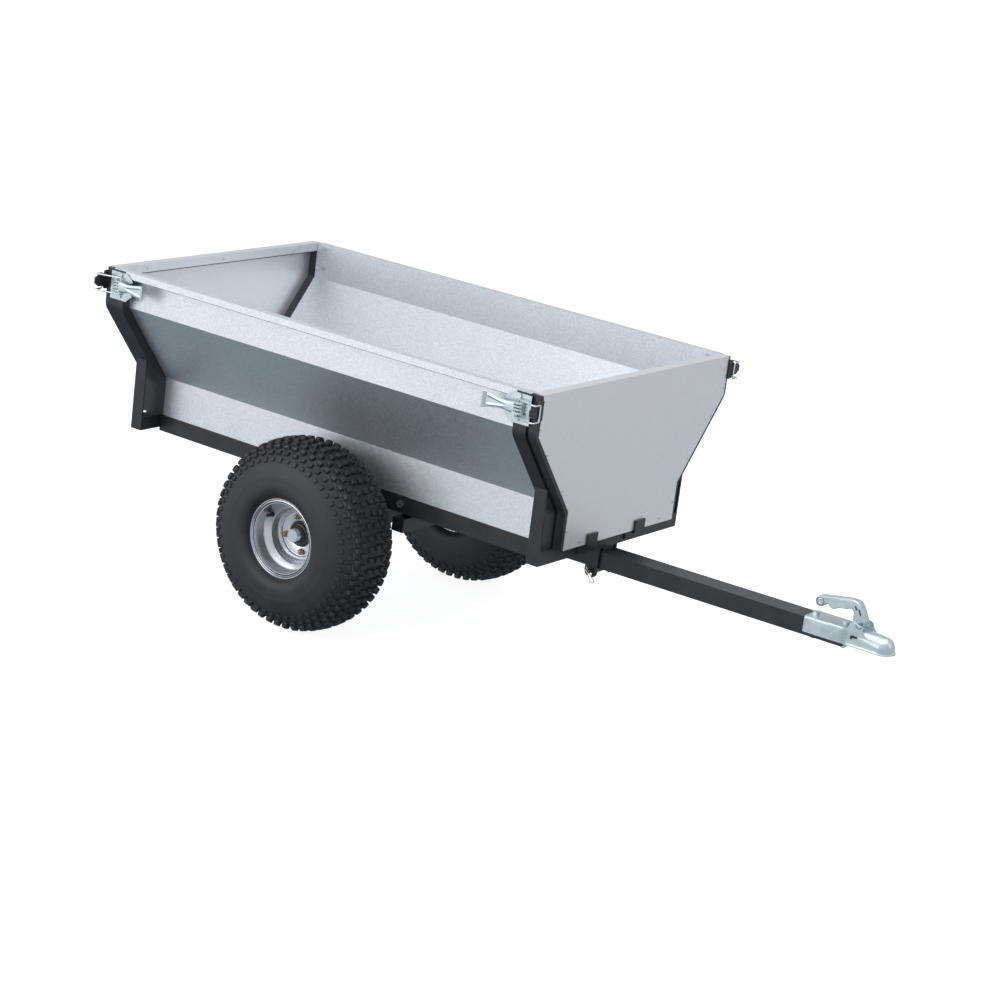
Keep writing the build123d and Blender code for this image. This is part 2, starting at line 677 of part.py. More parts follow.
with BuildPart() as rest_pad:
    pad_rear = PIN_X - 20 - BAR_REAR
    pad_front = PIN_X + 20 - BAR_REAR
    bar_surface = BAR_Z + BAR_H / 2 / cos(climb)
    with BuildSketch(Plane.XZ.offset(-25)):
        with BuildLine():
            Polyline(
                [
                    (AXLE_X + BAR_REAR + pad_rear, bar_surface + pad_rear * tan(climb)),
                    (AXLE_X + BAR_REAR + pad_front, bar_surface + pad_front * tan(climb)),
                    (AXLE_X + BAR_REAR + pad_front, CROSS_Z),
                    (AXLE_X + BAR_REAR + pad_rear, CROSS_Z),
                ],
                close=True,
            )
        make_face()
    extrude(amount=50)
save(rest_pad, "rest_pad")

# ---------------------------------------------------------------- release pin
pin_axis = Plane(origin=(AXLE_X + PIN_X, 0, PIN_Z), x_dir=(1, 0, 0), z_dir=(0, -1, 0))
with BuildPart() as pin_bush:
    with BuildSketch(pin_axis.offset(-BAR_W / 2)):
        Circle(10)
        Circle(PIN_R + RUNNING, mode=Mode.SUBTRACT)
    extrude(amount=BAR_W)
    bush_over_bar = bar_top.offset(BAR_H / 2 - BAR_H)
    split(bisect_by=bush_over_bar, keep=Keep.BOTTOM)
save(pin_bush, "pin_bush")

# The lugs hang from the front cross member; their slots open downwards, along the tipping arc.
with BuildPart() as release_lugs:
    slot_lean = degrees(atan2(PIVOT_Z - PIN_Z, PIN_X - PIVOT_X))
    slot_drop = 10.0
    for lug_y in (LUG_IN, -LUG_OUT):
        with BuildSketch(pin_axis.offset(-lug_y - 6)):
            with Locations((0, (CROSS_Z - PIN_Z) / 2)):
                Rectangle(40, CROSS_Z - PIN_Z)
            Circle(20)
            with Locations(Location((-slot_drop * tan(radians(slot_lean)), -slot_drop, 0), -slot_lean)):
                Rectangle(2 * PIN_R + 1, 26, mode=Mode.SUBTRACT)
            Circle(PIN_R + 0.5, mode=Mode.SUBTRACT)
        extrude(amount=6)
save(release_lugs, "release_lugs")

clip_lean = 50.0                 # the clip points down and forwards
clip_dir = (cos(radians(clip_lean)), 0, -sin(radians(clip_lean)))
clip_hole = (AXLE_X + PIN_X, PIN_NEAR + 6, PIN_Z)
with BuildPart() as release_pin:
    with BuildSketch(pin_axis.offset(-PIN_FAR)):
        Circle(PIN_R)
    extrude(amount=PIN_FAR - PIN_NEAR)
    chamfer(release_pin.edges().filter_by(GeomType.CIRCLE), length=1)
    with Locations(Plane(origin=clip_hole, z_dir=clip_dir)):
        Cylinder(1.25 + RUNNING, 30, mode=Mode.SUBTRACT)
save(release_pin, "release_pin")

# The clip lies in the plane of its leg and the pin's axis; its second leg passes the pin's end.
with BuildPart() as retaining_clip:
    clip_plane = Plane(origin=clip_hole, x_dir=clip_dir, z_dir=Vector(*clip_dir).cross(Vector(0, -1, 0)))
    with BuildLine(clip_plane) as clip_line:
        turns = [(-14, 0), (18, 0), (30, -5), (36, 5), (28, 15), (14, 9), (-6, 9), (-14, 13)]
        FilletPolyline(turns, radius=3)
    with BuildSketch(Plane(origin=clip_line.line @ 0, z_dir=clip_line.line % 0)):
        Circle(1.25)
    sweep(path=clip_line.line)
save(retaining_clip, "retaining_clip")

# ---------------------------------------------------------------- ball coupling
COUPLER_REAR, HEAD_REAR = 1182.0, 1304.0
HEAD_HALF, HEAD_TOP, HEAD_BOTTOM = 33.0, 27.0, -18.0
NOSE_S = BALL_S + HEAD_HALF
with BuildPart() as coupler_body:
    with BuildSketch(bar_top.offset(-15)):
        with Locations(((COUPLER_REAR + HEAD_REAR) / 2, 0)):
            Rectangle(HEAD_REAR - COUPLER_REAR, BAR_W + 8)
    extrude(amount=BAR_H / 2 + 4 + 15)
    fillet(coupler_body.edges().filter_by(lambda e: e.length > 100).group_by(Axis.Z)[-1], radius=6)
    with BuildSketch(bar_top.offset(HEAD_BOTTOM)):
        with Locations(((HEAD_REAR + BALL_S) / 2, 0)):
            Rectangle(BALL_S - HEAD_REAR, 2 * HEAD_HALF)
        with Locations((BALL_S, 0)):
            Circle(HEAD_HALF)
    extrude(amount=HEAD_TOP - HEAD_BOTTOM)
    head_top_edges = coupler_body.edges().filter_by(
        lambda e: bar_top.to_local_coords(e.center()).Z > HEAD_TOP - 0.1
        and HEAD_REAR + 20 < bar_top.to_local_coords(e.center()).X
    )
    fillet(head_top_edges, radius=9)
    with BuildSketch(bar_top.offset(HEAD_BOTTOM)):
        with Locations((BALL_S, 0)):
            Circle(HEAD_HALF + 2)
        with Locations(((HEAD_REAR + BALL_S) / 2, 0)):
            Rectangle(BALL_S - HEAD_REAR, 2 * HEAD_HALF + 4)
    extrude(amount=3)
    with BuildSketch(bar_side.offset(-HEAD_HALF)):
        with BuildLine():
            Polyline([(1308, 20), (1320, 50), (1336, 50), (1350, 20)], close=True)
        make_face()
        with Locations((GRIP_S, GRIP_N)):
            Circle(4, mode=Mode.SUBTRACT)
    extrude(amount=2 * HEAD_HALF)
    with BuildSketch(bar_top.offset(HEAD_BOTTOM - 1)):
        with Locations(((HEAD_REAR + 1380) / 2, 0)):
            Rectangle(1380 - HEAD_REAR, 58)
    extrude(amount=HEAD_TOP - HEAD_BOTTOM - 3, mode=Mode.SUBTRACT)
    with BuildSketch(bar_top.offset(15)):
        with Locations((1338, 0)):
            Rectangle(56, 56)
    extrude(amount=40, mode=Mode.SUBTRACT)
    with BuildSketch(bar_top.offset(HEAD_BOTTOM - 1)):
        with Locations((BALL_S, 0)):
            Circle(BALL_R)
    extrude(amount=BALL_N - HEAD_BOTTOM + 1, mode=Mode.SUBTRACT)
    with Locations(bar_top * Location((BALL_S, 0, BALL_N))):
        Sphere(BALL_R, mode=Mode.SUBTRACT)
    with BuildSketch(bar_end.offset(COUPLER_REAR)):
        with Locations((0, -5)):
            Rectangle(BAR_W, BAR_H + 10)
    extrude(amount=HEAD_REAR - COUPLER_REAR, mode=Mode.SUBTRACT)
    with BuildSketch(bar_side.offset(-HEAD_HALF - 10)):
        with Locations((1334, 6)):
            SlotOverall(18, 6)
    extrude(amount=2 * HEAD_HALF + 20, mode=Mode.SUBTRACT)
    with Locations(*[bar_top * Location((s, 0, BAR_H / 2)) for s in (1196, 1288)]):
        Cylinder(BOLT_R, 20, mode=Mode.SUBTRACT)
save(coupler_body, "coupler_body")

with BuildPart() as coupler_bolts:
    for s in (1196, 1288):
        with BuildSketch(bar_top.offset(-BAR_H / 2 - 13)):
            with Locations((s, 0)):
                Circle(BOLT_R)
        extrude(amount=BAR_H + 17)
        with BuildSketch(bar_top.offset(BAR_H / 2 + 4)):
            with Locations((s, 0)):
                RegularPolygon(10.5, 6)
        extrude(amount=7.5)
        with BuildSketch(bar_top.offset(-BAR_H / 2 - 10)):
            with Locations((s, 0)):
                RegularPolygon(10.5, 6)
        extrude(amount=10)
save(coupler_bolts, "coupler_bolts")

with BuildPart() as coupler_pivot:
    with BuildSketch(bar_side.offset(-HEAD_HALF - 2)):
        with Locations((GRIP_S, GRIP_N)):
            Circle(4)
    extrude(amount=2 * HEAD_HALF + 4)
save(coupler_pivot, "coupler_pivot")

GRIP_HALF = 14.0
with BuildPart() as coupler_handle:
    grip = [
        (1192, 84), (1203, 88), (1290, 104), (1318, 100), (1326, 92), (1354, 46), (1350, 36), (1340, 36),
        (1322, 78), (1304, 76), (1292, 68), (1262, 66), (1240, 62), (1214, 68), (1206, 61), (1196, 62), (1190, 72),
    ]
    with BuildSketch(bar_side.offset(-GRIP_HALF)):
        with BuildLine():
            Polyline(grip, close=True)
        make_face()
    extrude(amount=2 * GRIP_HALF)
    fillet(coupler_handle.edges().filter_by(lambda e: abs(e.tangent_at(0.5).Y) < 0.1), radius=3)
    with BuildSketch(bar_side.offset(-GRIP_HALF + 3)):
        with BuildLine():
            Polyline([(1212, 60), (1216, 84), (1290, 99), (1314, 95), (1330, 66), (1316, 60)], close=True)
        make_face()
    extrude(amount=2 * GRIP_HALF - 6, mode=Mode.SUBTRACT)
    with BuildSketch(bar_side.offset(-27)):
        with Locations((GRIP_S, GRIP_N)):
            Circle(8)
    extrude(amount=54)
    with BuildSketch(bar_side.offset(-GRIP_HALF)):
        with BuildLine():
            Polyline([(1328, 36), (1350, 37), (1348, 50), (1328, 50)], close=True)
        make_face()
    extrude(amount=2 * GRIP_HALF)
    with BuildSketch(bar_side.offset(-30)):
        with Locations((GRIP_S, GRIP_N)):
            Circle(4 + RUNNING)
    extrude(amount=60, mode=Mode.SUBTRACT)
save(coupler_handle, "coupler_handle")

with BuildPart() as coupler_clamp:
    with BuildSketch(bar_top.offset(-15)):
        with Locations((1360, 0)):
            Rectangle(36, 40)
    extrude(amount=27)
    with Locations(bar_top * Location((BALL_S, 0, BALL_N))):
        Sphere(BALL_R + 0.2, mode=Mode.SUBTRACT)
save(coupler_clamp, "coupler_clamp")
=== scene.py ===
"""Looks for the small tipping trailer: camera, light, materials and the pieces that need mesh work.

Everything is in metres in the CAD model's frame: +X forwards to the coupling, +Y left, +Z up.
"""
import json
import math

import bmesh
import bpy
from mathutils import Matrix, Vector


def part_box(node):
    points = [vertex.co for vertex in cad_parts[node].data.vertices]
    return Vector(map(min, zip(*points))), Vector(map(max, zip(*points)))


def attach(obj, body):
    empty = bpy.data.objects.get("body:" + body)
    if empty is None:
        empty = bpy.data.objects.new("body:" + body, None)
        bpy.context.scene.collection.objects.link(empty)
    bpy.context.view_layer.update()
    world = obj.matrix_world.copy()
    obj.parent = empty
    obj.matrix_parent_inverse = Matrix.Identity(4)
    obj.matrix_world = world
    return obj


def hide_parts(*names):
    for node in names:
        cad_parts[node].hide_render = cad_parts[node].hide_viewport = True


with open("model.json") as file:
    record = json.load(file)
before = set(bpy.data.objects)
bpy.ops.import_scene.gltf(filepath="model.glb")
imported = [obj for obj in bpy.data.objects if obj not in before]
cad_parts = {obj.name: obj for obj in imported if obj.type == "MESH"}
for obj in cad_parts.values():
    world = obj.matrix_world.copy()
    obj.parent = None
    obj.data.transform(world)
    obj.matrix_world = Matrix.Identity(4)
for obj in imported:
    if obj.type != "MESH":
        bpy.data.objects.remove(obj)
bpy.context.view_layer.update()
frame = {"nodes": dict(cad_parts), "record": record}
nodes = frame["nodes"]
MM = 0.001
SIDES = (("right", -1), ("left", 1))  # the side's name and its sign along Y
ENDS = (("front", 1), ("rear", -1))  # the end's name and its sign along X
MERGE = 1e-6  # points closer than this, in metres, become one


# ------------------------------------------------------------------ places taken from the frame
def middle(node):
    """Middle of a CAD node's box."""
    low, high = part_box(node)
    return (Vector(low) + Vector(high)) / 2


axle = middle("axle_beam")


# ------------------------------------------------------------------ materials
def new_material(name, colour, metallic=0.0, roughness=0.5):
    """A Principled material; returns it with its node tree and shader node."""
    made = bpy.data.materials.new(name)
    made.use_nodes = True
    tree = made.node_tree
    shader = tree.nodes["Principled BSDF"]
    shader.inputs["Base Color"].default_value = (*colour, 1)
    shader.inputs["Metallic"].default_value = metallic
    shader.inputs["Roughness"].default_value = roughness
    return made, tree, shader


def add_node(tree, kind, values=None, **settings):
    """One shader node with its settings and input values."""
    made = tree.nodes.new(kind)
    for key, value in settings.items():
        setattr(made, key, value)
    for key, value in (values or {}).items():
        made.inputs[key].default_value = value
    return made


def object_point(tree):
    """Output of the object's own coordinates, which don't change as a body moves."""
    return add_node(tree, "ShaderNodeTexCoord").outputs["Object"]


def noise(tree, scale, detail=4.0, roughness=0.55):
    """Fractal noise over the object's coordinates."""
    made = add_node(tree, "ShaderNodeTexNoise", {"Scale": scale, "Detail": detail, "Roughness": roughness})
    tree.links.new(object_point(tree), made.inputs["Vector"])
    return made.outputs["Fac"]


def ramp(tree, source, low, high, start=0.0, end=1.0):
    """Map a 0..1 source to a colour ramp between two colours."""
    made = add_node(tree, "ShaderNodeValToRGB")
    made.color_ramp.elements[0].position = start
    made.color_ramp.elements[1].position = end
    made.color_ramp.elements[0].color = (*low, 1)
    made.color_ramp.elements[1].color = (*high, 1)
    tree.links.new(source, made.inputs["Fac"])
    return made.outputs["Color"]


def remap(tree, source, low, high):
    """Map a 0..1 source to low..high."""
    made = add_node(tree, "ShaderNodeMapRange", {"To Min": low, "To Max": high})
    tree.links.new(source, made.inputs["Value"])
    return made.outputs["Result"]


def bump(tree, shader, source, distance, strength=1.0):
    """Feed a height to the shader's normal; distance in metres."""
    made = add_node(tree, "ShaderNodeBump", {"Distance": distance, "Strength": strength})
    tree.links.new(source, made.inputs["Height"])
    tree.links.new(made.outputs["Normal"], shader.inputs["Normal"])


def galvanised(name, dark, light, relief):
    """Hot-dip zinc on sheet: fine spangle cells over soft clouding, between two greys."""
    made, tree, shader = new_material(name, light, 0.82, 0.42)
    cells = add_node(tree, "ShaderNodeTexVoronoi", {"Scale": 260.0, "Randomness": 1.0})
    warp = add_node(tree, "ShaderNodeVectorMath", operation="ADD")
    tree.links.new(object_point(tree), warp.inputs[0])
    cloud = noise(tree, 9.0, 6.0)
    tree.links.new(remap(tree, cloud, 0.0, 0.01), warp.inputs[1])
    tree.links.new(warp.outputs["Vector"], cells.inputs["Vector"])
    grain = add_node(tree, "ShaderNodeSeparateColor")
    tree.links.new(cells.outputs["Color"], grain.inputs["Color"])
    mixed = add_node(tree, "ShaderNodeMath", operation="MULTIPLY_ADD")
    mixed.inputs[1].default_value = 0.62
    tree.links.new(grain.outputs["Red"], mixed.inputs[0])
    tree.links.new(remap(tree, cloud, 0.0, 0.38), mixed.inputs[2])
    colour = ramp(tree, mixed.outputs["Value"], dark, light, 0.1, 0.9)
    tree.links.new(colour, shader.inputs["Base Color"])
    tree.links.new(remap(tree, grain.outputs["Green"], 0.36, 0.50), shader.inputs["Roughness"])
    bump(tree, shader, grain.outputs["Blue"], 0.00005, relief)
    return made


def black_coat():
    """Semi-gloss black powder coat with fine orange peel and slightly greyer worn patches."""
    made, tree, shader = new_material("black_powder_coat", (0.02, 0.021, 0.025), 0.0, 0.38)
    shader.inputs["Specular IOR Level"].default_value = 0.42
    wear = noise(tree, 14.0, 8.0)
    tree.links.new(ramp(tree, wear, (0.016, 0.017, 0.021), (0.031, 0.033, 0.040), 0.35, 0.75),
                   shader.inputs["Base Color"])
    tree.links.new(remap(tree, wear, 0.26, 0.44), shader.inputs["Roughness"])
    bump(tree, shader, noise(tree, 700.0, 2.0), 0.00012, 0.5)
    return made


def plated(name, colour, roughness):
    """Bright electroplate with faint rolling marks and a cloudy sheen."""
    made, tree, shader = new_material(name, colour, 0.9, roughness)
    cloud = noise(tree, 45.0, 5.0)
    pale = tuple(min(1.0, c * 1.08) for c in colour)
    dim = tuple(c * 0.86 for c in colour)
    tree.links.new(ramp(tree, cloud, dim, pale, 0.3, 0.7), shader.inputs["Base Color"])
    tree.links.new(remap(tree, cloud, roughness - 0.06, roughness + 0.08), shader.inputs["Roughness"])
    bump(tree, shader, noise(tree, 900.0, 3.0), 0.00006, 0.4)
    return made


def silver_paint():
    """Satin silver wheel paint with fine metallic flake."""
    made, tree, shader = new_material("silver_wheel_paint", (0.55, 0.57, 0.60), 0.92, 0.26)
    flake = noise(tree, 1500.0, 2.0)
    tree.links.new(ramp(tree, flake, (0.58, 0.60, 0.64), (0.70, 0.72, 0.75), 0.3, 0.7),
                   shader.inputs["Base Color"])
    tree.links.new(remap(tree, noise(tree, 30.0), 0.27, 0.35), shader.inputs["Roughness"])
    bump(tree, shader, flake, 0.00002, 0.12)
    return made


MOULD_LINE_W = 77.0  # from the tyre's middle, in mm
MOULD_LINE_HALF = 0.8


def tyre_rubber():
    """Matt black rubber, a little dusty, with a broken pale mould line round each tyre's outer shoulder."""
    made, tree, shader = new_material("tyre_rubber", (0.03, 0.03, 0.033), 0.0, 0.55)
    dust = noise(tree, 18.0, 8.0, 0.65)
    body = ramp(tree, dust, (0.011, 0.011, 0.013), (0.026, 0.026, 0.030), 0.3, 0.75)
    parts = add_node(tree, "ShaderNodeSeparateXYZ")
    tree.links.new(object_point(tree), parts.inputs[0])
    out = add_node(tree, "ShaderNodeMath", operation="ABSOLUTE")
    tree.links.new(parts.outputs["Y"], out.inputs[0])
    line_y = abs(middle("left_tyre").y) + MOULD_LINE_W * MM
    on_line = add_node(tree, "ShaderNodeMath", {1: line_y, 2: MOULD_LINE_HALF * MM}, operation="COMPARE")
    tree.links.new(out.outputs[0], on_line.inputs[0])
    broken = add_node(tree, "ShaderNodeMath", operation="MULTIPLY")
    tree.links.new(on_line.outputs[0], broken.inputs[0])
    tree.links.new(remap(tree, noise(tree, 14.0, 3.0), -0.3, 1.0), broken.inputs[1])
    mix = add_node(tree, "ShaderNodeMix", data_type="RGBA")
    colour_a, colour_b, colour_out = mix.inputs[6], mix.inputs[7], mix.outputs[2]
    tree.links.new(broken.outputs[0], mix.inputs["Factor"])
    tree.links.new(body, colour_a)
    colour_b.default_value = (0.22, 0.22, 0.22, 1)
    tree.links.new(colour_out, shader.inputs["Base Color"])
    tree.links.new(remap(tree, dust, 0.44, 0.66), shader.inputs["Roughness"])
    bump(tree, shader, noise(tree, 420.0, 5.0), 0.0004, 0.45)
    return made


def black_part(name, roughness):
    """Black painted or moulded small parts."""
    made, tree, shader = new_material(name, (0.018, 0.018, 0.02), 0.0, roughness)
    grain = noise(tree, 500.0, 3.0)
    tree.links.new(remap(tree, grain, roughness - 0.06, roughness + 0.06), shader.inputs["Roughness"])
    bump(tree, shader, grain, 0.00015, 0.5)
    return made


finishes = {
    "galvanised": galvanised("galvanised_sheet", (0.63, 0.66, 0.70), (0.80, 0.83, 0.865), 0.30),
    "black_frame": black_coat(),
    "zinc": plated("bright_zinc", (0.58, 0.665, 0.70), 0.36),
    "zinc_wire": plated("bright_zinc_wire", (0.74, 0.78, 0.80), 0.22),
    "yellow_zinc": plated("yellow_zinc", (0.36, 0.25, 0.15), 0.34),
    "rim_silver": silver_paint(),
    "tyre": tyre_rubber(),
    # This black is also used for the painted shade strip under the side hems.
    "hub_black": black_part("black_hub_paint_and_painted_shade", 0.38),
    "rubber": black_part("black_rubber", 0.62),
    # This black is also used for the painted shade plates and rings in the coupler's slots, notches and
    # groove.
    "cap_plastic": black_part("black_plastic_and_painted_shade", 0.48),
    "bearing_steel": plated("ground_steel", (0.52, 0.53, 0.55), 0.30),
}

for subpart in frame["record"]["subparts"]:
    mesh = nodes[subpart["node"]].data
    mesh.materials.clear()
    mesh.materials.append(finishes[subpart["material_slot"]])

# The gates and the floor are of a finer sheet than the sides.
smooth_sheet = galvanised("galvanised_sheet_fine", (0.74, 0.755, 0.775), (0.79, 0.805, 0.825), 0.10)
for name in ("front_gate_sheet", "rear_gate_sheet", "floor_panel"):
    nodes[name].data.materials[0] = smooth_sheet


# ------------------------------------------------------------------ mesh helpers
BEVEL_FROM = math.radians(30)
SHARP_FROM = math.radians(35)


def soften(piece, width, segments=2):
    """Round a piece's edges that turn by more than BEVEL_FROM."""
    bevel = piece.modifiers.new("rounded_edges", "BEVEL")
    bevel.width = width
    bevel.segments = segments
    bevel.limit_method = "ANGLE"
    bevel.angle_limit = BEVEL_FROM


def finish_piece(name, shape, slot, body, rounding=0.0, replaced=()):
    """Turn a bmesh into a named, smooth-shaded piece with its finish, riding on a body."""
    bmesh.ops.recalc_face_normals(shape, faces=shape.faces)
    mesh = bpy.data.meshes.new(name)
    shape.to_mesh(mesh)
    shape.free()
    mesh.materials.append(finishes[slot])
    mesh.shade_smooth()
    mesh.set_sharp_from_angle(angle=SHARP_FROM)
    piece = bpy.data.objects.new(name, mesh)
    bpy.context.collection.objects.link(piece)
    if rounding:
        soften(piece, rounding)
    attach(piece, body)
    if replaced:
        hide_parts(*replaced)
    return piece


def add_prism(shape, outline, depth, place):
    """Add a prism: outline points (u, v), from depth[0] to depth[1], put in space by place(u, v, depth)."""
    low = [shape.verts.new(place(u, v, depth[0])) for u, v in outline]
    high = [shape.verts.new(place(u, v, depth[1])) for u, v in outline]
    shape.faces.new(list(reversed(low)))
    shape.faces.new(high)
    count = len(outline)
    for i in range(count):
        j = (i + 1) % count
        shape.faces.new((low[i], low[j], high[j], high[i]))


def add_grid(shape, rows, closed_columns=False):
    """Join rows of points into a quad surface; closed_columns also joins each row's end to its start."""
    verts = [[shape.verts.new(point) for point in row] for row in rows]
    columns = len(rows[0])
    last = columns if closed_columns else columns - 1
    for i in range(len(rows) - 1):
        for j in range(last):
            k = (j + 1) % columns
            shape.faces.new((verts[i][j], verts[i][k], verts[i + 1][k], verts[i + 1][j]))


def smooth_curve(points, steps, closed=False):
    """Catmull-Rom curve through a list of 2-D points."""
    result = []
    count = len(points)
    spans = count if closed else count - 1
    for i in range(spans):
        p = []
        for k in (-1, 0, 1, 2):
            index = (i + k) % count if closed else min(max(i + k, 0), count - 1)
            p.append(Vector(points[index]))
        for step in range(steps):
            t = step / steps
            slope = (p[2] - p[0]) * t
            curve = (2 * p[0] - 5 * p[1] + 4 * p[2] - p[3]) * t * t
            twist = (3 * p[1] - p[0] - 3 * p[2] + p[3]) * t ** 3
            result.append(0.5 * (2 * p[1] + slope + curve + twist))
    if not closed:
        result.append(Vector(points[-1]))
    return result


# ------------------------------------------------------------------ CAD nodes that stay: rolled edges
ROUNDED_NODES = (
    # nodes, radius in mm, segments
    (("side_rails", "cross_members", "drawbar", "cross_tube", "axle_beam", "floor_cross_bars"), 3.0, 3),
    (("posts", "front_gate_frame", "rear_gate_frame"), 2.2, 3),
    (("post_struts", "gate_keepers", "release_lugs", "front_gate_catches", "rear_gate_catches"), 0.9, 2),
)
for names, radius, segments in ROUNDED_NODES:
    for name in names:
        soften(nodes[name], radius * MM, segments)

HEM_LENGTH, HEM_DEPTH = 1400.0, 7.0
HEM_TOP, HEM_BOTTOM = 19.2, 20.6  # the painted shadow strip's top and bottom, down from the rim in mm


def painted_hem_shadows():
    """A thin black strip under each side's folded hem: painted shade standing in for the shadow line along
    the hem lip's lower edge.
    """
    shape = bmesh.new()
    for name, side in SIDES:
        low, high = (Vector(point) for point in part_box(name + "_panel"))
        outer = high.y if side > 0 else -low.y
        top, bottom = high.z - HEM_TOP * MM, high.z - HEM_BOTTOM * MM
        inner = outer - HEM_DEPTH * MM
        outline = [(inner, bottom), (outer, bottom), (outer - 0.1 * MM, top), (inner, top)]
        half = HEM_LENGTH / 2 * MM
        centre = (low.x + high.x) / 2
        add_prism(shape, outline, (centre - half, centre + half), lambda y, z, x: Vector((x, side * y, z)))
    finish_piece("painted_hem_shadows", shape, "hub_black", "tub")


painted_hem_shadows()


# ------------------------------------------------------------------ tyres
# A wheel's profiles are (w, r) points in mm: w outwards from the tyre's middle, r from the axle's line.
TYRE_PROFILE = [
    (93.9, 103), (94.2, 112), (96.5, 117.2), (104, 119.5), (111.5, 125), (116.5, 136), (118.4, 148),
    (117.6, 165), (114.5, 186), (108.5, 209), (100, 226), (89.5, 240.4), (75, 252.4), (54.5, 261.6),
    (30, 267.2), (0, 269.4),
]
PROFILE_STEPS = 3
SIDEWALL_RINGS = ((178, 186, 0.9), (238, 243, 0.6))  # moulded rings: from r, to r, height
TYRE_STEPS = 208
TREAD_TOP = [(0, 279.4), (34, 277.4), (60, 271.5), (82, 259.6), (99, 240.5), (111, 212.5)]
KNOBS_ROUND = 52
KNOB_COLUMNS = ((0, 0.0, 8.0), (27, 0.0, 7.6), (53, 0.5, 7.6), (75, 0.0, 7.4), (92, 0.5, 6.6))
KNOB_HALF_RUN, KNOB_BITE = 7.2, 12.6
LUG_W, LUG_HALF_RUN, LUG_BITE = 104.5, 6.2, 12.0
LONG_LUG, SHORT_LUG = 7.4, 5.2
LEAN_REACH = 4.0  # how far to each side of a knob its lean is measured


def along(profile, w):
    """Radius of a (w, r) profile at a given w, by straight interpolation."""
    points = sorted(profile)
    for (w0, r0), (w1, r1) in zip(points, points[1:]):
        if w0 <= w <= w1:
            return r0 + (r1 - r0) * (w - w0) / (w1 - w0)
    return points[-1][1]


def wheel_point(side, centre, w, r, turn):
    """A point of a wheel's (w, r) profile, turned about the axle from +X upwards."""
    return Vector((
        centre.x + r * MM * math.cos(turn),
        centre.y + side * w * MM,
        centre.z + r * MM * math.sin(turn),
    ))


def tyre_casing(prefix, side, centre):
    """The tyre's smooth casing, with two rings moulded on its sidewall."""
    ringed = []
    for w, r in smooth_curve(TYRE_PROFILE, PROFILE_STEPS):
        rise = sum(height for low, high, height in SIDEWALL_RINGS if low < r < high)
        ringed.append((w + rise, r))
    profile = ringed + [(-w, r) for w, r in reversed(ringed[:-1])]
    shape = bmesh.new()
    rows = []
    for step in range(TYRE_STEPS):
        turn = 2 * math.pi * step / TYRE_STEPS
        rows.append([wheel_point(side, centre, w, r, turn) for w, r in profile])
    add_grid(shape, rows + [rows[0]])
    bmesh.ops.remove_doubles(shape, verts=shape.verts, dist=MERGE)
    finish_piece(prefix + "_tyre_casing", shape, "tyre", prefix + "_wheel", 0, (prefix + "_tyre",))


def add_knob(shape, side, centre, w, turn, half_w, half_run, bite):
    """One tread knob: a tapered block standing on the casing, its top on the tread's outline."""
    top_r = along(TREAD_TOP, abs(w))
    lean = 0.0
    if abs(w) > LEAN_REACH:
        drop = along(TREAD_TOP, abs(w) - LEAN_REACH) - along(TREAD_TOP, abs(w) + LEAN_REACH)
        lean = math.copysign(math.atan2(drop, 2 * LEAN_REACH), w)
    out = (math.sin(lean), math.cos(lean))
    run = (math.cos(lean), -math.sin(lean))
    levels = ((0.0, 0.86), (2.0, 1.0), (bite, 1.16))  # depth below the top, size against the knob's own
    rings = []
    for depth, grow in levels:
        ring = []
        for du, dv in ((-1, -1), (1, -1), (1, 1), (-1, 1)):
            ww = w + run[0] * du * half_w * grow - out[0] * depth
            rr = top_r + run[1] * du * half_w * grow - out[1] * depth
            angle = turn + dv * half_run * grow / top_r
            ring.append(wheel_point(side, centre, ww, rr, angle))
        rings.append([shape.verts.new(p) for p in ring])
    shape.faces.new(rings[0])
    shape.faces.new(list(reversed(rings[-1])))
    for upper, lower in zip(rings, rings[1:]):
        for i in range(4):
            j = (i + 1) % 4
            shape.faces.new((upper[i], upper[j], lower[j], lower[i]))


def tyre_tread(prefix, side, centre):
    """Staggered rows of square knobs, and lugs of two lengths on both shoulders."""
    shape = bmesh.new()
    pitch = 2 * math.pi / KNOBS_ROUND
    for column, stagger, half_w in KNOB_COLUMNS:
        for w in sorted({column, -column}):
            for k in range(KNOBS_ROUND):
                shift = 0.04 * math.sin(1.7 * k + w)
                turn = (k + stagger + shift) * pitch
                add_knob(shape, side, centre, w, turn, half_w, KNOB_HALF_RUN, KNOB_BITE)
    for w in (LUG_W, -LUG_W):
        for k in range(KNOBS_ROUND):
            half_w = SHORT_LUG if k % 2 else LONG_LUG
            add_knob(shape, side, centre, w, k * pitch, half_w, LUG_HALF_RUN, LUG_BITE)
    finish_piece(prefix + "_tyre_tread", shape, "tyre", prefix + "_wheel", 0.9 * MM)


for prefix, side in SIDES:
    wheel_middle = middle(prefix + "_tyre")
    tyre_casing(prefix, side, wheel_middle)
    tyre_tread(prefix, side, wheel_middle)


# ------------------------------------------------------------------ round parts of a wheel
LATHE_STEPS, RIM_STEPS, VALVE_STEPS, NUT_STEPS = 96, 160, 24, 24
AXIS_R = 0.01  # stands in for a radius of zero


def lathe(name, profile, side, centre, slot, body, replaced=(), steps=LATHE_STEPS, around=(0.0, 0.0)):
    """Turn a closed (w, r) profile about a line beside the wheel's axis, which lies (x, z) = around away."""
    shape = bmesh.new()
    rows = []
    shifted = centre + Vector((around[0] * MM, 0, around[1] * MM))
    for step in range(steps):
        turn = 2 * math.pi * step / steps
        rows.append([wheel_point(side, shifted, w, max(r, AXIS_R), turn) for w, r in profile])
    add_grid(shape, rows + [rows[0]], closed_columns=True)
    bmesh.ops.remove_doubles(shape, verts=shape.verts, dist=MERGE)
    finish_piece(name, shape, slot, body, 0, replaced)


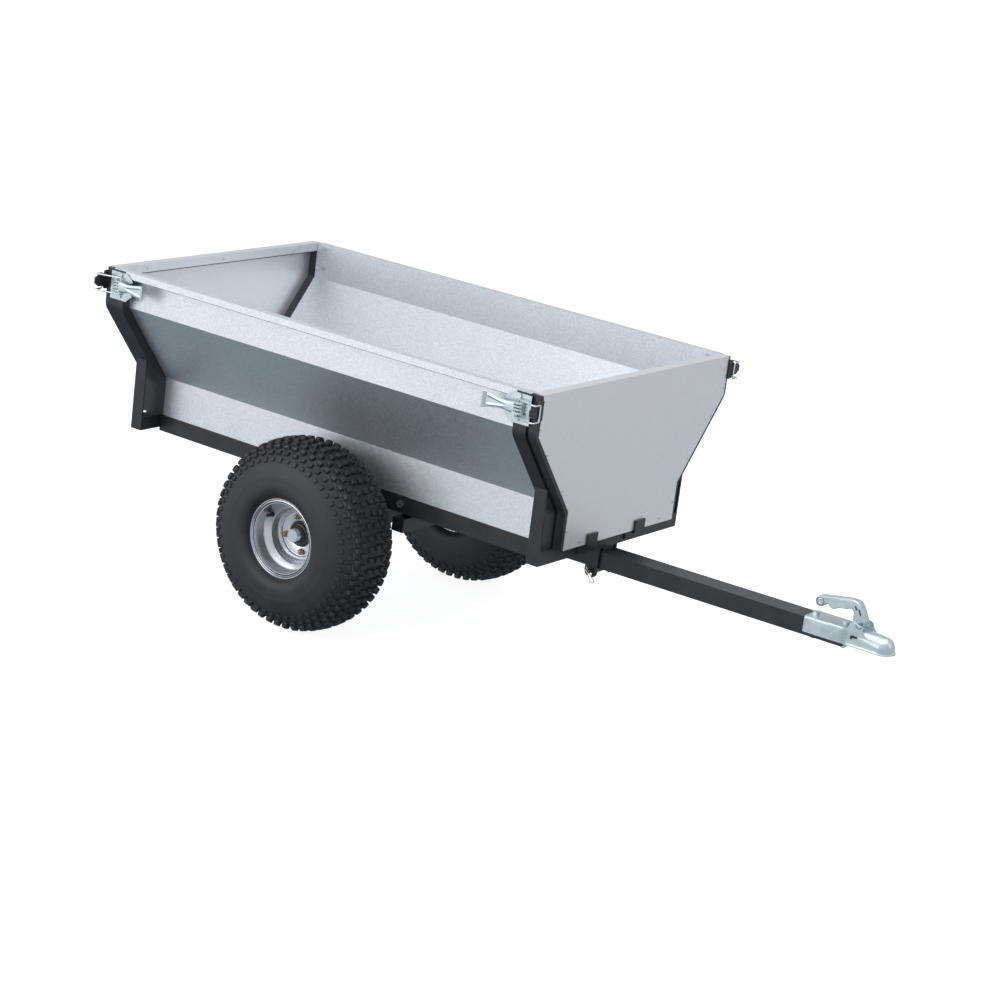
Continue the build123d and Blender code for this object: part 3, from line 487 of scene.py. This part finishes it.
RIM_FACE = [
    (93.4, 113.6), (94.4, 115.2), (95.8, 115.4), (96.8, 114.4), (96.8, 112.6), (95.4, 111.4), (93.8, 110.8),
    (93.8, 110.0), (95.6, 109.2), (96.0, 107.6), (95.0, 106.4), (92.8, 105.6), (92.6, 104.8), (93.8, 104.0),
    (93.6, 102.8), (91, 101.0), (86, 99.8), (78, 99.2), (60, 98.2), (57, 97.6), (55, 96.0), (53.6, 93.6),
    (47.4, 82.4), (45.6, 80.2), (42.8, 79.0), (36, 78.4), (24, 76.4), (19.6, 74.2), (17.2, 71.2),
    (17.4, 69.2),
    (18.4, 67.8), (18.2, 66.2), (16.4, 64.8), (13.9, 63.8), (13.35, 61.0), (13.35, 39.4), (12.6, 37.6),
    (11.2, 37.0),
]
RIM_BACK = [
    (8.35, 37), (8.35, 80), (-44.5, 80), (-54, 97.5), (-94, 98.6), (-96.8, 101), (-96.8, 115.0),
    (-93.9, 115.0), (-93.9, 101.6), (-53, 100.5), (-43, 83), (43, 83), (53, 100.5), (93.4, 101.4),
]
CAP_PROFILE = [
    (15.35, 18.8), (15.35, 17.0), (45, 17.0), (46.6, 0.0), (47.2, 0.0), (47.2, 15.6), (47.8, 16.4),
    (47.7, 17.6), (47.0, 18.4), (45.8, 18.8), (30, 18.8),
]
SEAL_PROFILE = [
    (15.45, 18.9), (25.0, 18.9), (26.4, 20.2), (26.6, 22.6), (25.4, 24.0), (22.4, 24.6), (22.0, 26.4),
    (22.6, 28.0), (21.4, 31.0), (18.0, 33.0), (15.45, 33.2),
]
VALVE_PROFILE = [
    (51.5, 0), (51.5, 7.4), (54, 7.2), (57, 5.6), (62, 4.6), (65.6, 4.4), (66, 5.2), (67.4, 5.4),
    (68.8, 5.0), (70.2, 5.4), (73.6, 5.2), (75.1, 4.2), (75.2, 0),
]
STUDS, STUD_R, STUD_TURN = 4, 50.8, 15.0
VALVE_R, VALVE_TURN = 88.0, 150.0
NUT_LEVELS = [
    # w, radius, number of sides
    (13.4, 7.4, 24), (15.2, 9.8, 24), (15.4, 8.8, 6), (22.2, 8.8, 6), (23.3, 7.4, 6), (23.4, 5.2, 24),
    (23.1, 4.8, 24),
]
THREAD_LEVELS = [(23.1 + 0.55 * i, 4.7 if i % 2 else 4.25, 24) for i in range(7)]
STUD_END = [(26.8, 3.6, 24), (26.9, AXIS_R, 24)]
NUT_LEAN = 0.3  # how far the nut's flats are turned, in radians


def wheel_nut(shape, side, centre, turn):
    """One wheel nut: a six-sided body with a coned seat and a chamfered top, and its stud's threaded end."""
    middle_x = STUD_R * math.cos(turn)
    middle_z = STUD_R * math.sin(turn)
    at = centre + Vector((middle_x * MM, 0, middle_z * MM))
    rings = []
    for w, r, sides in NUT_LEVELS + THREAD_LEVELS + STUD_END:
        ring = []
        for step in range(NUT_STEPS):
            angle = 2 * math.pi * step / NUT_STEPS
            flat = (angle + NUT_LEAN) % (math.pi / 3) - math.pi / 6
            radius = r * math.cos(math.pi / 6) / math.cos(flat) if sides == 6 else r
            ring.append(wheel_point(side, at, w, radius, angle))
        rings.append(ring)
    add_grid(shape, rings, closed_columns=True)


def wheel_fittings(prefix, side, centre):
    """Rim, hub cap, nuts and valve of one wheel."""
    body = prefix + "_wheel"
    rim = RIM_FACE + RIM_BACK
    lathe(prefix + "_rim_dish", rim, side, centre, "rim_silver", body, (prefix + "_rim",), RIM_STEPS)
    lathe(prefix + "_cap_cup", CAP_PROFILE, side, centre, "zinc", body, (prefix + "_hub_cap",))
    lathe(prefix + "_hub_seal", SEAL_PROFILE, side, centre, "hub_black", body)
    shape = bmesh.new()
    for k in range(STUDS):
        wheel_nut(shape, side, centre, math.radians(STUD_TURN + 360 / STUDS * k))
    finish_piece(prefix + "_wheel_nuts", shape, "yellow_zinc", body, 0, (prefix + "_wheel_bolts",))
    turn = math.radians(VALVE_TURN if side < 0 else 180 - VALVE_TURN)
    place = (VALVE_R * math.cos(turn), VALVE_R * math.sin(turn))
    replaced = (prefix + "_valve",)
    lathe(prefix + "_valve_stem", VALVE_PROFILE, side, centre, "rubber", body, replaced, VALVE_STEPS, place)


for prefix, side in SIDES:
    wheel_fittings(prefix, side, middle(prefix + "_tyre"))


# ------------------------------------------------------------------ gate latches
PIN_R = 2.0


def latch_corner(end, side):
    """Placing function for a latch: u out along the tub, v out from the side, z up, in mm from its hinge."""
    low, high = (Vector(point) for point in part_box("latch_pins"))
    centre = (low + high) / 2
    reach = (high.x - low.x) / 2 - PIN_R * MM
    outward = high.y - PIN_R * MM

    def place(u, v, z):
        return Vector((centre.x + end * (reach + u * MM), side * (outward + v * MM), centre.z + z * MM))

    return place


LEVER_WIDTH = [
    # u, half width
    (-121, 20), (-119, 22), (-113, 21.5), (-100, 18.5), (-80, 15), (-62, 12.5), (-50, 12.5), (-30, 15),
    (-14, 17), (0, 16.5), (7, 13),
]
LEVER_STATIONS = (-19, -20, -23, -26, -32, -38, -44, -48, -52, -56, -60, -65, -70, -75, -80, -85, -90,
                  -95, -100, -104, -107, -109, -111, -113, -115, -117, -119, -120, -121)
LEVER_STEPS = 28
LEVER_STAND, RIB_HEIGHT, RIB_WIDTH = 7.4, 1.6, 2.2
FINGER = [
    (-24, 8.8), (-8, 8.6), (0, 7.8), (4.6, 5.4), (6.6, 1.6), (6.2, -2.2), (4.2, -2.2), (4.4, 1.0),
    (2.8, 3.8), (-1.2, 5.8), (-8, 6.6), (-24, 6.8),
]
CHEEK = [(8, 2.5), (5, 6), (-24, 7.5), (-28, 3), (-25, -4.5), (-16, -5.5), (-2, -5.8), (6, -3.5)]
FINGER_Z, FINGER_WIDTH = (-16.0, -6.8, 1.8, 11.0), 5.0
CHEEK_Z, CHEEK_WIDTH = (-13.6, 11.6), 2.0


def ease(value):
    """Smooth 0..1 step."""
    value = min(max(value, 0.0), 1.0)
    return value * value * (3 - 2 * value)


def lever_height(u, t, half):
    """How far the pressed sheet stands out from the hinge line, at u along it and t (-1 to 1) across it."""
    rib_middle = 4.2 + 0.15 * (-u - 50)
    rib = RIB_HEIGHT * math.exp(-((abs(t) * half - rib_middle) / RIB_WIDTH) ** 2)
    rib *= ease((-u - 46) / 14) * ease((u + 110) / 6)
    turned_edge = 2.4 * ease((abs(t) - 0.78) / 0.22) * ease((u + 60) / 12)
    crown = 0.8 * (1 - t * t) * ease((u + 62) / 14)
    end_tab = 7.2 * ease((-u - 109) / 9)
    return LEVER_STAND + rib + crown + end_tab - turned_edge


def latch_lever(name, end, side):
    """A pressed toggle lever: two ribs running out to a turned-up end tab, and knuckles on the hinge."""
    place = latch_corner(end, side)
    shape = bmesh.new()
    rows = []
    for u in LEVER_STATIONS:
        half = along(LEVER_WIDTH, u)
        row = []
        for step in range(LEVER_STEPS + 1):
            t = 2 * step / LEVER_STEPS - 1
            row.append(place(u, lever_height(u, t, half), t * half))
        rows.append(row)
    add_grid(shape, rows)
    piece = finish_piece(name + "_pressing", shape, "zinc", name, 0, (name,))
    sheet = piece.modifiers.new("sheet", "SOLIDIFY")
    sheet.thickness = 1.6 * MM
    sheet.offset = 0
    knuckles = bmesh.new()
    for low in FINGER_Z:
        add_prism(knuckles, FINGER, (low, low + FINGER_WIDTH), place)
    for low in CHEEK_Z:
        add_prism(knuckles, CHEEK, (low, low + CHEEK_WIDTH), place)
    finish_piece(name + "_knuckles", knuckles, "zinc", name, 0.5 * MM)


for end_name, end in ENDS:
    for side_name, side in SIDES:
        latch_lever(end_name + "_" + side_name + "_latch_lever", end, side)


CATCH_OUTLINE = [
    # y from the middle plane, z
    (457, 878), (475, 878), (478, 868), (500, 866), (514, 859), (514, 842), (500, 832), (478, 831),
    (475, 823), (457, 823),
]
RIVET_R, RIVET_HEIGHT, RIVET_RINGS, RIVET_STEPS = 5.0, 2.2, 6, 16
FOLD_RIVET_Y, FOLD_RIVET_DOWN = (-330, 0, 330), 13


def gate_catches(name):
    """The gate's two catches: a root plate behind the wire and a pointed nose outside it."""
    low, high = (Vector(point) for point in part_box(name + "_gate_catches"))
    shape = bmesh.new()
    for _, side in SIDES:
        add_prism(shape, CATCH_OUTLINE, (low.x, high.x), lambda y, z, x: Vector((x, side * y * MM, z * MM)))
    replaced = (name + "_gate_catches",)
    finish_piece(name + "_catch_plates", shape, "black_frame", name + "_gate", 1.2 * MM, replaced)


for name, _ in ENDS:
    gate_catches(name)


def rivet_head(shape, centre, outward, radius, height):
    """A shallow domed rivet head standing on a face whose outward direction is given."""
    across = Vector((0, 1, 0))
    up = Vector((0, 0, 1))
    rings = []
    for k in range(RIVET_RINGS):
        angle = math.radians(90 * k / (RIVET_RINGS - 1))
        ring = []
        for step in range(RIVET_STEPS):
            turn = 2 * math.pi * step / RIVET_STEPS
            spread = across * math.cos(turn) + up * math.sin(turn)
            reach = max(radius * math.cos(angle), AXIS_R)
            ring.append(centre + (spread * reach + outward * height * math.sin(angle)) * MM)
        rings.append(ring)
    add_grid(shape, rings, closed_columns=True)


def fold_rivets(name, end):
    """Three rivets that hold the gate's folded top, on its inner face."""
    low, high = (Vector(point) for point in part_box(name + "_gate_sheet"))
    face = low.x if end > 0 else high.x
    shape = bmesh.new()
    for y in FOLD_RIVET_Y:
        at = Vector((face, y * MM, high.z - FOLD_RIVET_DOWN * MM))
        rivet_head(shape, at, Vector((-end, 0, 0)), RIVET_R, RIVET_HEIGHT)
    finish_piece(name + "_fold_rivets", shape, "zinc", name + "_gate")


for name, end in ENDS:
    fold_rivets(name, end)


# ------------------------------------------------------------------ ball coupling
# Shapes here are in mm of the drawbar: s along it from its rear end, y left, n up from its middle line.
CLIMB = math.radians(0.8)  # how steeply the drawbar rises to the front
BAR_ORIGIN = Vector((axle.x + 0.2440, 0, 0.3473))


def bar_point(s, y, n):
    """A point of the drawbar's (s, y, n) in space."""
    along_bar = Vector((math.cos(CLIMB), 0, math.sin(CLIMB)))
    up_bar = Vector((-math.sin(CLIMB), 0, math.cos(CLIMB)))
    return BAR_ORIGIN + (along_bar * s + up_bar * n) * MM + Vector((0, y * MM, 0))


def side_point(s, n, y):
    """bar_point for a prism whose outline is (s, n) and whose depth is y."""
    return bar_point(s, y, n)


def arch(half, bottom, top, radius, flare=0.0):
    """Upside-down U outline (y, n) with rounded shoulders and, if asked, a flared foot."""
    right = [
        (half + flare, bottom), (half + flare * 0.9, bottom + 2.2), (half + flare * 0.25, bottom + 4.5),
        (half, bottom + 8), (half, (bottom + top - radius) / 2 + 4),
    ]
    for k in range(9):
        angle = math.radians(90 * k / 8)
        right.append((half - radius + radius * math.cos(angle), top - radius + radius * math.sin(angle)))
    return right + [(-y, n) for y, n in reversed(right)]


HEAD_STATIONS = [
    # s, half width, top, shoulder radius, flare of the foot
    (1182.0, 38.2, 28.4, 6.0, 0.0), (1183.2, 39.0, 29.0, 6.0, 0.0), (1240.0, 39.0, 29.0, 6.0, 0.0),
    (1298.0, 39.0, 29.0, 6.0, 0.0), (1299.2, 38.6, 28.8, 6.5, 0.0), (1301.0, 37.2, 28.4, 7.5, 0.0),
    (1304.5, 33.6, 27.8, 9.5, 0.6), (1307.0, 31.8, 27.4, 11.0, 1.0), (1310.0, 31.0, 27.2, 12.0, 1.6),
    (1330.0, 31.0, 27.0, 14.0, 1.6), (1360.0, 31.0, 27.0, 21.0, 1.6), (1380.0, 31.0, 26.6, 26.0, 1.6),
    (1396.0, 31.0, 25.8, 28.0, 1.6), (1404.0, 31.0, 25.0, 28.5, 1.6),
]
HEAD_FROM = 1302.0  # where the channel over the bar ends and the head begins
CHANNEL_BOTTOM, FOOT = -15.0, -18.0
WALL, TIP_WALL, TIP_HALF = 3.0, 1.2, 8.0  # the wall is thinner where the nose is narrower than TIP_HALF
FOOT_FROM, FOOT_OUT, FOOT_IN, FOOT_HEIGHT, FOOT_STEPS = 1307.0, 34.6, 29.0, 3.6, 24
NOSE_FROM, NOSE_HALF, NOSE_TOP, NOSE_RADIUS, NOSE_FLARE = 1404.0, 31.0, 25.0, 28.5, 1.6
NOSE_STEPS = (0.15, 0.3, 0.45, 0.58, 0.7, 0.8, 0.88, 0.94, 0.975, 0.994)
DOME = 2.6  # power of the dome's curve: 2 is an ellipse, more is boxier
EAR_OUTLINE = [
    (1306, 14), (1309, 30), (1314, 44), (1320, 51), (1327, 52), (1334, 48), (1346, 45), (1350.5, 41),
    (1354, 32), (1360, 24), (1368, 14),
]
EAR_Y, EAR_THICKNESS = (-33.0, 30.0), 3.0
SIDE_SLOT = [(1320, 2), (1320, 11), (1324, 13), (1341, 13), (1341, 7), (1326, 6), (1326, 2)]
# The thin black plates placed here are painted shade in the side slots and along each ear's notch, 0.6 mm
# thick.
SIDE_SLOT_Y, NOTCH_Y, SHADE_PLATE_THICKNESS = (-31.4, 30.8), (-33.3, 32.7), 0.6
NOTCH_S, NOTCH_N, NOTCH_OUT_R, NOTCH_IN_R = 1342, 43, 8.2, 6.2


def nose_stations():
    """The rest of the head: round in plan, with a dome that stays high and then drops steeply."""
    made = []
    for x in NOSE_STEPS:
        half = NOSE_HALF * math.sqrt(1 - x * x)
        lift = (1 - x ** DOME) ** (1 / DOME)
        top = FOOT + (NOSE_TOP - FOOT) * lift
        radius = min(NOSE_RADIUS * lift, half - 0.5)
        made.append((NOSE_FROM + NOSE_HALF * x, half, top, radius, NOSE_FLARE * half / NOSE_HALF))
    return made


def foot_band():
    """Plan outline of the head's flared foot, as a closed band."""
    band = []
    for radius in (FOOT_OUT, FOOT_IN):
        path = [(FOOT_FROM, -radius)]
        for k in range(FOOT_STEPS + 1):
            turn = math.radians(-90 + 180 * k / FOOT_STEPS)
            path.append((NOSE_FROM + radius * math.cos(turn), radius * math.sin(turn)))
        path.append((FOOT_FROM, radius))
        band += path if radius == FOOT_OUT else reversed(path)
    return band


def coupler_shell():
    """The coupling's pressed body: channel over the drawbar, narrower head, round nose and flared foot."""
    shape = bmesh.new()
    rows = []
    for s, half, top, radius, flare in HEAD_STATIONS + nose_stations():
        bottom = CHANNEL_BOTTOM if s < HEAD_FROM else FOOT
        wall = WALL if half > TIP_HALF else TIP_WALL
        outer = arch(half, bottom, top, radius, flare)
        inner = arch(half - wall, bottom, top - wall, max(radius - wall, 0.6), flare)
        rows.append([bar_point(s, y, n) for y, n in outer + list(reversed(inner))])
    add_grid(shape, rows, closed_columns=True)
    shape.verts.ensure_lookup_table()
    count = len(rows[0])
    for start in (0, len(rows) * count - count):
        ring = [shape.verts[start + k] for k in range(count)]
        for k in range(count // 2 - 1):
            shape.faces.new((ring[k], ring[k + 1], ring[count - 2 - k], ring[count - 1 - k]))
    finish_piece("coupler_shell", shape, "zinc", "drawbar", 0, ("coupler_body",))
    foot = bmesh.new()
    add_prism(foot, foot_band(), (FOOT, FOOT + FOOT_HEIGHT), bar_point)
    finish_piece("coupler_foot", foot, "zinc", "drawbar", 1.5 * MM)
    ears = bmesh.new()
    for low in EAR_Y:
        add_prism(ears, EAR_OUTLINE, (low, low + EAR_THICKNESS), side_point)
    finish_piece("coupler_ears", ears, "zinc", "drawbar", 0.8 * MM)
    # Thin black plates on the side slots and along each ear's notch: painted shade standing in for the dark
    # openings.
    slot_shadows = bmesh.new()
    for low in SIDE_SLOT_Y:
        add_prism(slot_shadows, SIDE_SLOT, (low, low + SHADE_PLATE_THICKNESS), side_point)
    turns = [math.radians(185 + 170 * k / 16) for k in range(17)]
    notch = []
    for radius, path in ((NOTCH_OUT_R, turns), (NOTCH_IN_R, list(reversed(turns)))):
        notch += [(NOTCH_S + radius * math.cos(turn), NOTCH_N + radius * math.sin(turn)) for turn in path]
    for low in NOTCH_Y:
        add_prism(slot_shadows, notch, (low, low + SHADE_PLATE_THICKNESS), side_point)
    finish_piece("coupler_side_slot_shadows", slot_shadows, "cap_plastic", "drawbar", 0.4 * MM)


HANDLE_OUTLINE = [
    (1194, 71.5), (1196, 79), (1201.5, 84.5), (1208, 86.5), (1218, 88), (1246, 93), (1272, 97),
    (1292, 100.5), (1308, 100.5), (1320, 97), (1329, 88), (1338, 72), (1345, 57), (1347, 48), (1344, 41),
    (1338, 36.5), (1328, 35), (1319, 38), (1312, 46), (1310, 58), (1310, 68), (1305, 74), (1296, 74),
    (1284, 70), (1272, 69), (1262, 66), (1254, 61), (1246, 60), (1238, 63), (1233, 68.5), (1227, 69),
    (1222, 65), (1217, 59.5), (1209.5, 56.5), (1201.5, 58.5), (1196, 64),
]
GRIP_HALF = 14.0
GRIP_END_S, GRIP_END_N, GRIP_RING_STEPS = 1209.5, 71.5, 28
RING_LEVELS = ((9.6, 0.0), (9.2, 1.2), (8.2, 1.6), (6.4, 1.6), (5.4, 1.0), (4.8, 0.0))
# The groove round the grip's end is drawn as a black ring of painted shade.
GROOVE_SHADE_LEVELS = ((11.6, -0.2), (11.4, 0.3), (10.2, 0.3), (10.0, -0.2))
GRIP_RAIL = [(1228, 80), (1228, 83), (1290, 94), (1306, 93.5), (1306, 91), (1290, 91)]
# The grip's slanted slots are drawn as black plates of painted shade.
GRIP_SLOTS = (
    [(1311, 86), (1315, 88), (1321, 78), (1317, 76)],
    [(1323, 80), (1327, 82), (1335, 66), (1331, 64)],
)


def grip_rings(side, levels):
    """Circles about the middle of the grip's round end, from (radius, height over its face) pairs."""
    turns = [2 * math.pi * k / GRIP_RING_STEPS for k in range(GRIP_RING_STEPS)]
    rings = []
    for radius, height in levels:
        y = side * (GRIP_HALF + height)
        points = [(GRIP_END_S + radius * math.cos(t), GRIP_END_N + radius * math.sin(t)) for t in turns]
        rings.append([side_point(s, n, y) for s, n in points])
    return rings


def coupler_grip():
    """The coupling's handle: a wavy grip with a round end, and cheeks down to the pivot."""
    shape = bmesh.new()
    outline = [tuple(p) for p in smooth_curve(HANDLE_OUTLINE, 3, closed=True)]
    add_prism(shape, outline, (-GRIP_HALF, GRIP_HALF), side_point)
    finish_piece("coupler_grip", shape, "zinc", "coupler_handle", 3.2 * MM, ("coupler_handle",))
    marks = bmesh.new()
    for _, side in SIDES:
        face = GRIP_HALF * side
        add_grid(marks, grip_rings(side, RING_LEVELS), closed_columns=True)
        add_prism(marks, GRIP_RAIL, (face - 0.4, face + 0.8), side_point)
    finish_piece("coupler_grip_rings", marks, "zinc", "coupler_handle", 0.3 * MM)
    # Black plates in the grip's slots and a black ring in its end's groove: painted shade.
    slot_shadows = bmesh.new()
    for outline in GRIP_SLOTS:
        for _, side in SIDES:
            low = GRIP_HALF * side - SHADE_PLATE_THICKNESS / 2
            add_prism(slot_shadows, outline, (low, low + SHADE_PLATE_THICKNESS), side_point)
    for _, side in SIDES:
        add_grid(slot_shadows, grip_rings(side, GROOVE_SHADE_LEVELS), closed_columns=True)
    finish_piece("coupler_grip_slot_shadows", slot_shadows, "cap_plastic", "coupler_handle", 0.3 * MM)


coupler_shell()
coupler_grip()


# ------------------------------------------------------------------ floor, light and camera
FLOOR_HALF, FLOOR_GLOW = 60.0, 0.9
SKY_STRENGTH = 0.8
SKY_BANDS = (
    # share of the way from straight down to straight up, colour
    (0.10, (0.19, 0.25, 0.285)),
    (0.22, (0.30, 0.385, 0.43)),
    (0.34, (0.92, 0.95, 0.98)),
    (0.55, (0.86, 0.885, 0.92)),
    (1.00, (0.86, 0.885, 0.91)),
)
LAMPS = (
    # name, place and target in metres, size in metres, power in watts
    ("key", (-3.4, -5.6, 1.9), (0, 0, 0.5), (4.5, 3.2), 132),
    ("top", (0.5, -0.5, 5.0), (0, 0, 0.4), (6.5, 5.5), 148),
    ("front", (4.5, 1.5, 2.2), (0.3, 0, 0.5), (2.5, 2.5), 14),
)
LENS, SENSOR = 96.66, 36.0
CAMERA_FROM_AXLE = (4.57960, -6.05146, 2.56307)
CAMERA_AROUND = math.radians(-55.2215)
CAMERA_ABOVE = math.radians(16.2196)
CAMERA_ROLL = math.radians(7.3151)


def stage_floor():
    """A wide white floor that glows a little, and is left out of reflections and bounced light."""
    shape = bmesh.new()
    half = FLOOR_HALF
    add_grid(shape, [[(-half, -half, 0), (half, -half, 0)], [(-half, half, 0), (half, half, 0)]])
    mesh = bpy.data.meshes.new("floor")
    shape.to_mesh(mesh)
    shape.free()
    made, tree, shader = new_material("white_floor", (0.35, 0.35, 0.35), 0.0, 0.9)
    grain = noise(tree, 2.0, 2.0)
    tree.links.new(ramp(tree, grain, (0.34, 0.34, 0.34), (0.37, 0.37, 0.37)), shader.inputs["Base Color"])
    shader.inputs["Emission Color"].default_value = (1, 1, 1, 1)
    shader.inputs["Emission Strength"].default_value = FLOOR_GLOW
    mesh.materials.append(made)
    floor = bpy.data.objects.new("floor", mesh)
    bpy.context.collection.objects.link(floor)
    floor.visible_glossy = False
    floor.visible_diffuse = False


def studio_world():
    """Soft light from all round: pale above and at eye height, dark below, and white as a backdrop."""
    world = bpy.data.worlds.new("studio")
    bpy.context.scene.world = world
    world.use_nodes = True
    tree = world.node_tree
    background = tree.nodes["Background"]
    direction = add_node(tree, "ShaderNodeTexCoord").outputs["Generated"]
    split = add_node(tree, "ShaderNodeSeparateXYZ")
    tree.links.new(direction, split.inputs[0])
    height = add_node(tree, "ShaderNodeValToRGB")
    stops = height.color_ramp.elements
    for place, _ in SKY_BANDS[1:-1]:
        stops.new(place)
    for stop, (place, colour) in zip(stops, SKY_BANDS):
        stop.position = place
        stop.color = (*colour, 1)
    half = add_node(tree, "ShaderNodeMapRange", {"From Min": -1.0, "From Max": 1.0})
    tree.links.new(split.outputs["Z"], half.inputs["Value"])
    tree.links.new(half.outputs["Result"], height.inputs["Fac"])
    far_side = {"From Min": -0.3, "From Max": 0.6, "To Min": 1.0, "To Max": 0.86}
    across = add_node(tree, "ShaderNodeMapRange", far_side)
    tree.links.new(split.outputs["Y"], across.inputs["Value"])
    shaded = add_node(tree, "ShaderNodeVectorMath", operation="SCALE")
    tree.links.new(height.outputs["Color"], shaded.inputs[0])
    tree.links.new(across.outputs["Result"], shaded.inputs["Scale"])
    tree.links.new(shaded.outputs["Vector"], background.inputs["Color"])
    background.inputs["Strength"].default_value = SKY_STRENGTH
    white = add_node(tree, "ShaderNodeBackground", {"Color": (1, 1, 1, 1), "Strength": 1.0})
    path = add_node(tree, "ShaderNodeLightPath")
    mix = add_node(tree, "ShaderNodeMixShader")
    tree.links.new(path.outputs["Is Camera Ray"], mix.inputs["Fac"])
    tree.links.new(background.outputs["Background"], mix.inputs[1])
    tree.links.new(white.outputs["Background"], mix.inputs[2])
    tree.links.new(mix.outputs["Shader"], tree.nodes["World Output"].inputs["Surface"])


def area_light(name, place, target, size, power):
    """A soft rectangular lamp aimed at a point."""
    lamp = bpy.data.lights.new(name, "AREA")
    lamp.shape = "RECTANGLE"
    lamp.size, lamp.size_y = size
    lamp.energy = power
    holder = bpy.data.objects.new(name, lamp)
    holder.location = place
    holder.rotation_euler = (Vector(target) - Vector(place)).to_track_quat("-Z", "Y").to_euler()
    bpy.context.collection.objects.link(holder)


def camera():
    """The camera, placed from the wheels' axis; its roll makes up for the trailer's nose-down stand."""
    data = bpy.data.cameras.new("camera")
    data.sensor_width = SENSOR
    data.lens = LENS
    data.clip_end = 200.0
    holder = bpy.data.objects.new("camera", data)
    level = math.cos(CAMERA_ABOVE)
    back = Vector((
        level * math.cos(CAMERA_AROUND),
        level * math.sin(CAMERA_AROUND),
        math.sin(CAMERA_ABOVE),
    ))
    right = (-back).cross(Vector((0, 0, 1))).normalized()
    down = (-back).cross(right)
    rolled_right = math.cos(CAMERA_ROLL) * right - math.sin(CAMERA_ROLL) * down
    rolled_down = math.sin(CAMERA_ROLL) * right + math.cos(CAMERA_ROLL) * down
    turn = Matrix((rolled_right, -rolled_down, back)).transposed()
    x, y, z = CAMERA_FROM_AXLE
    holder.matrix_world = Matrix.Translation((axle.x + x, y, z)) @ turn.to_4x4()
    bpy.context.collection.objects.link(holder)
    bpy.context.scene.camera = holder


stage_floor()
studio_world()
for lamp in LAMPS:
    area_light(*lamp)
camera()
bpy.context.scene.view_settings.view_transform = "Standard"
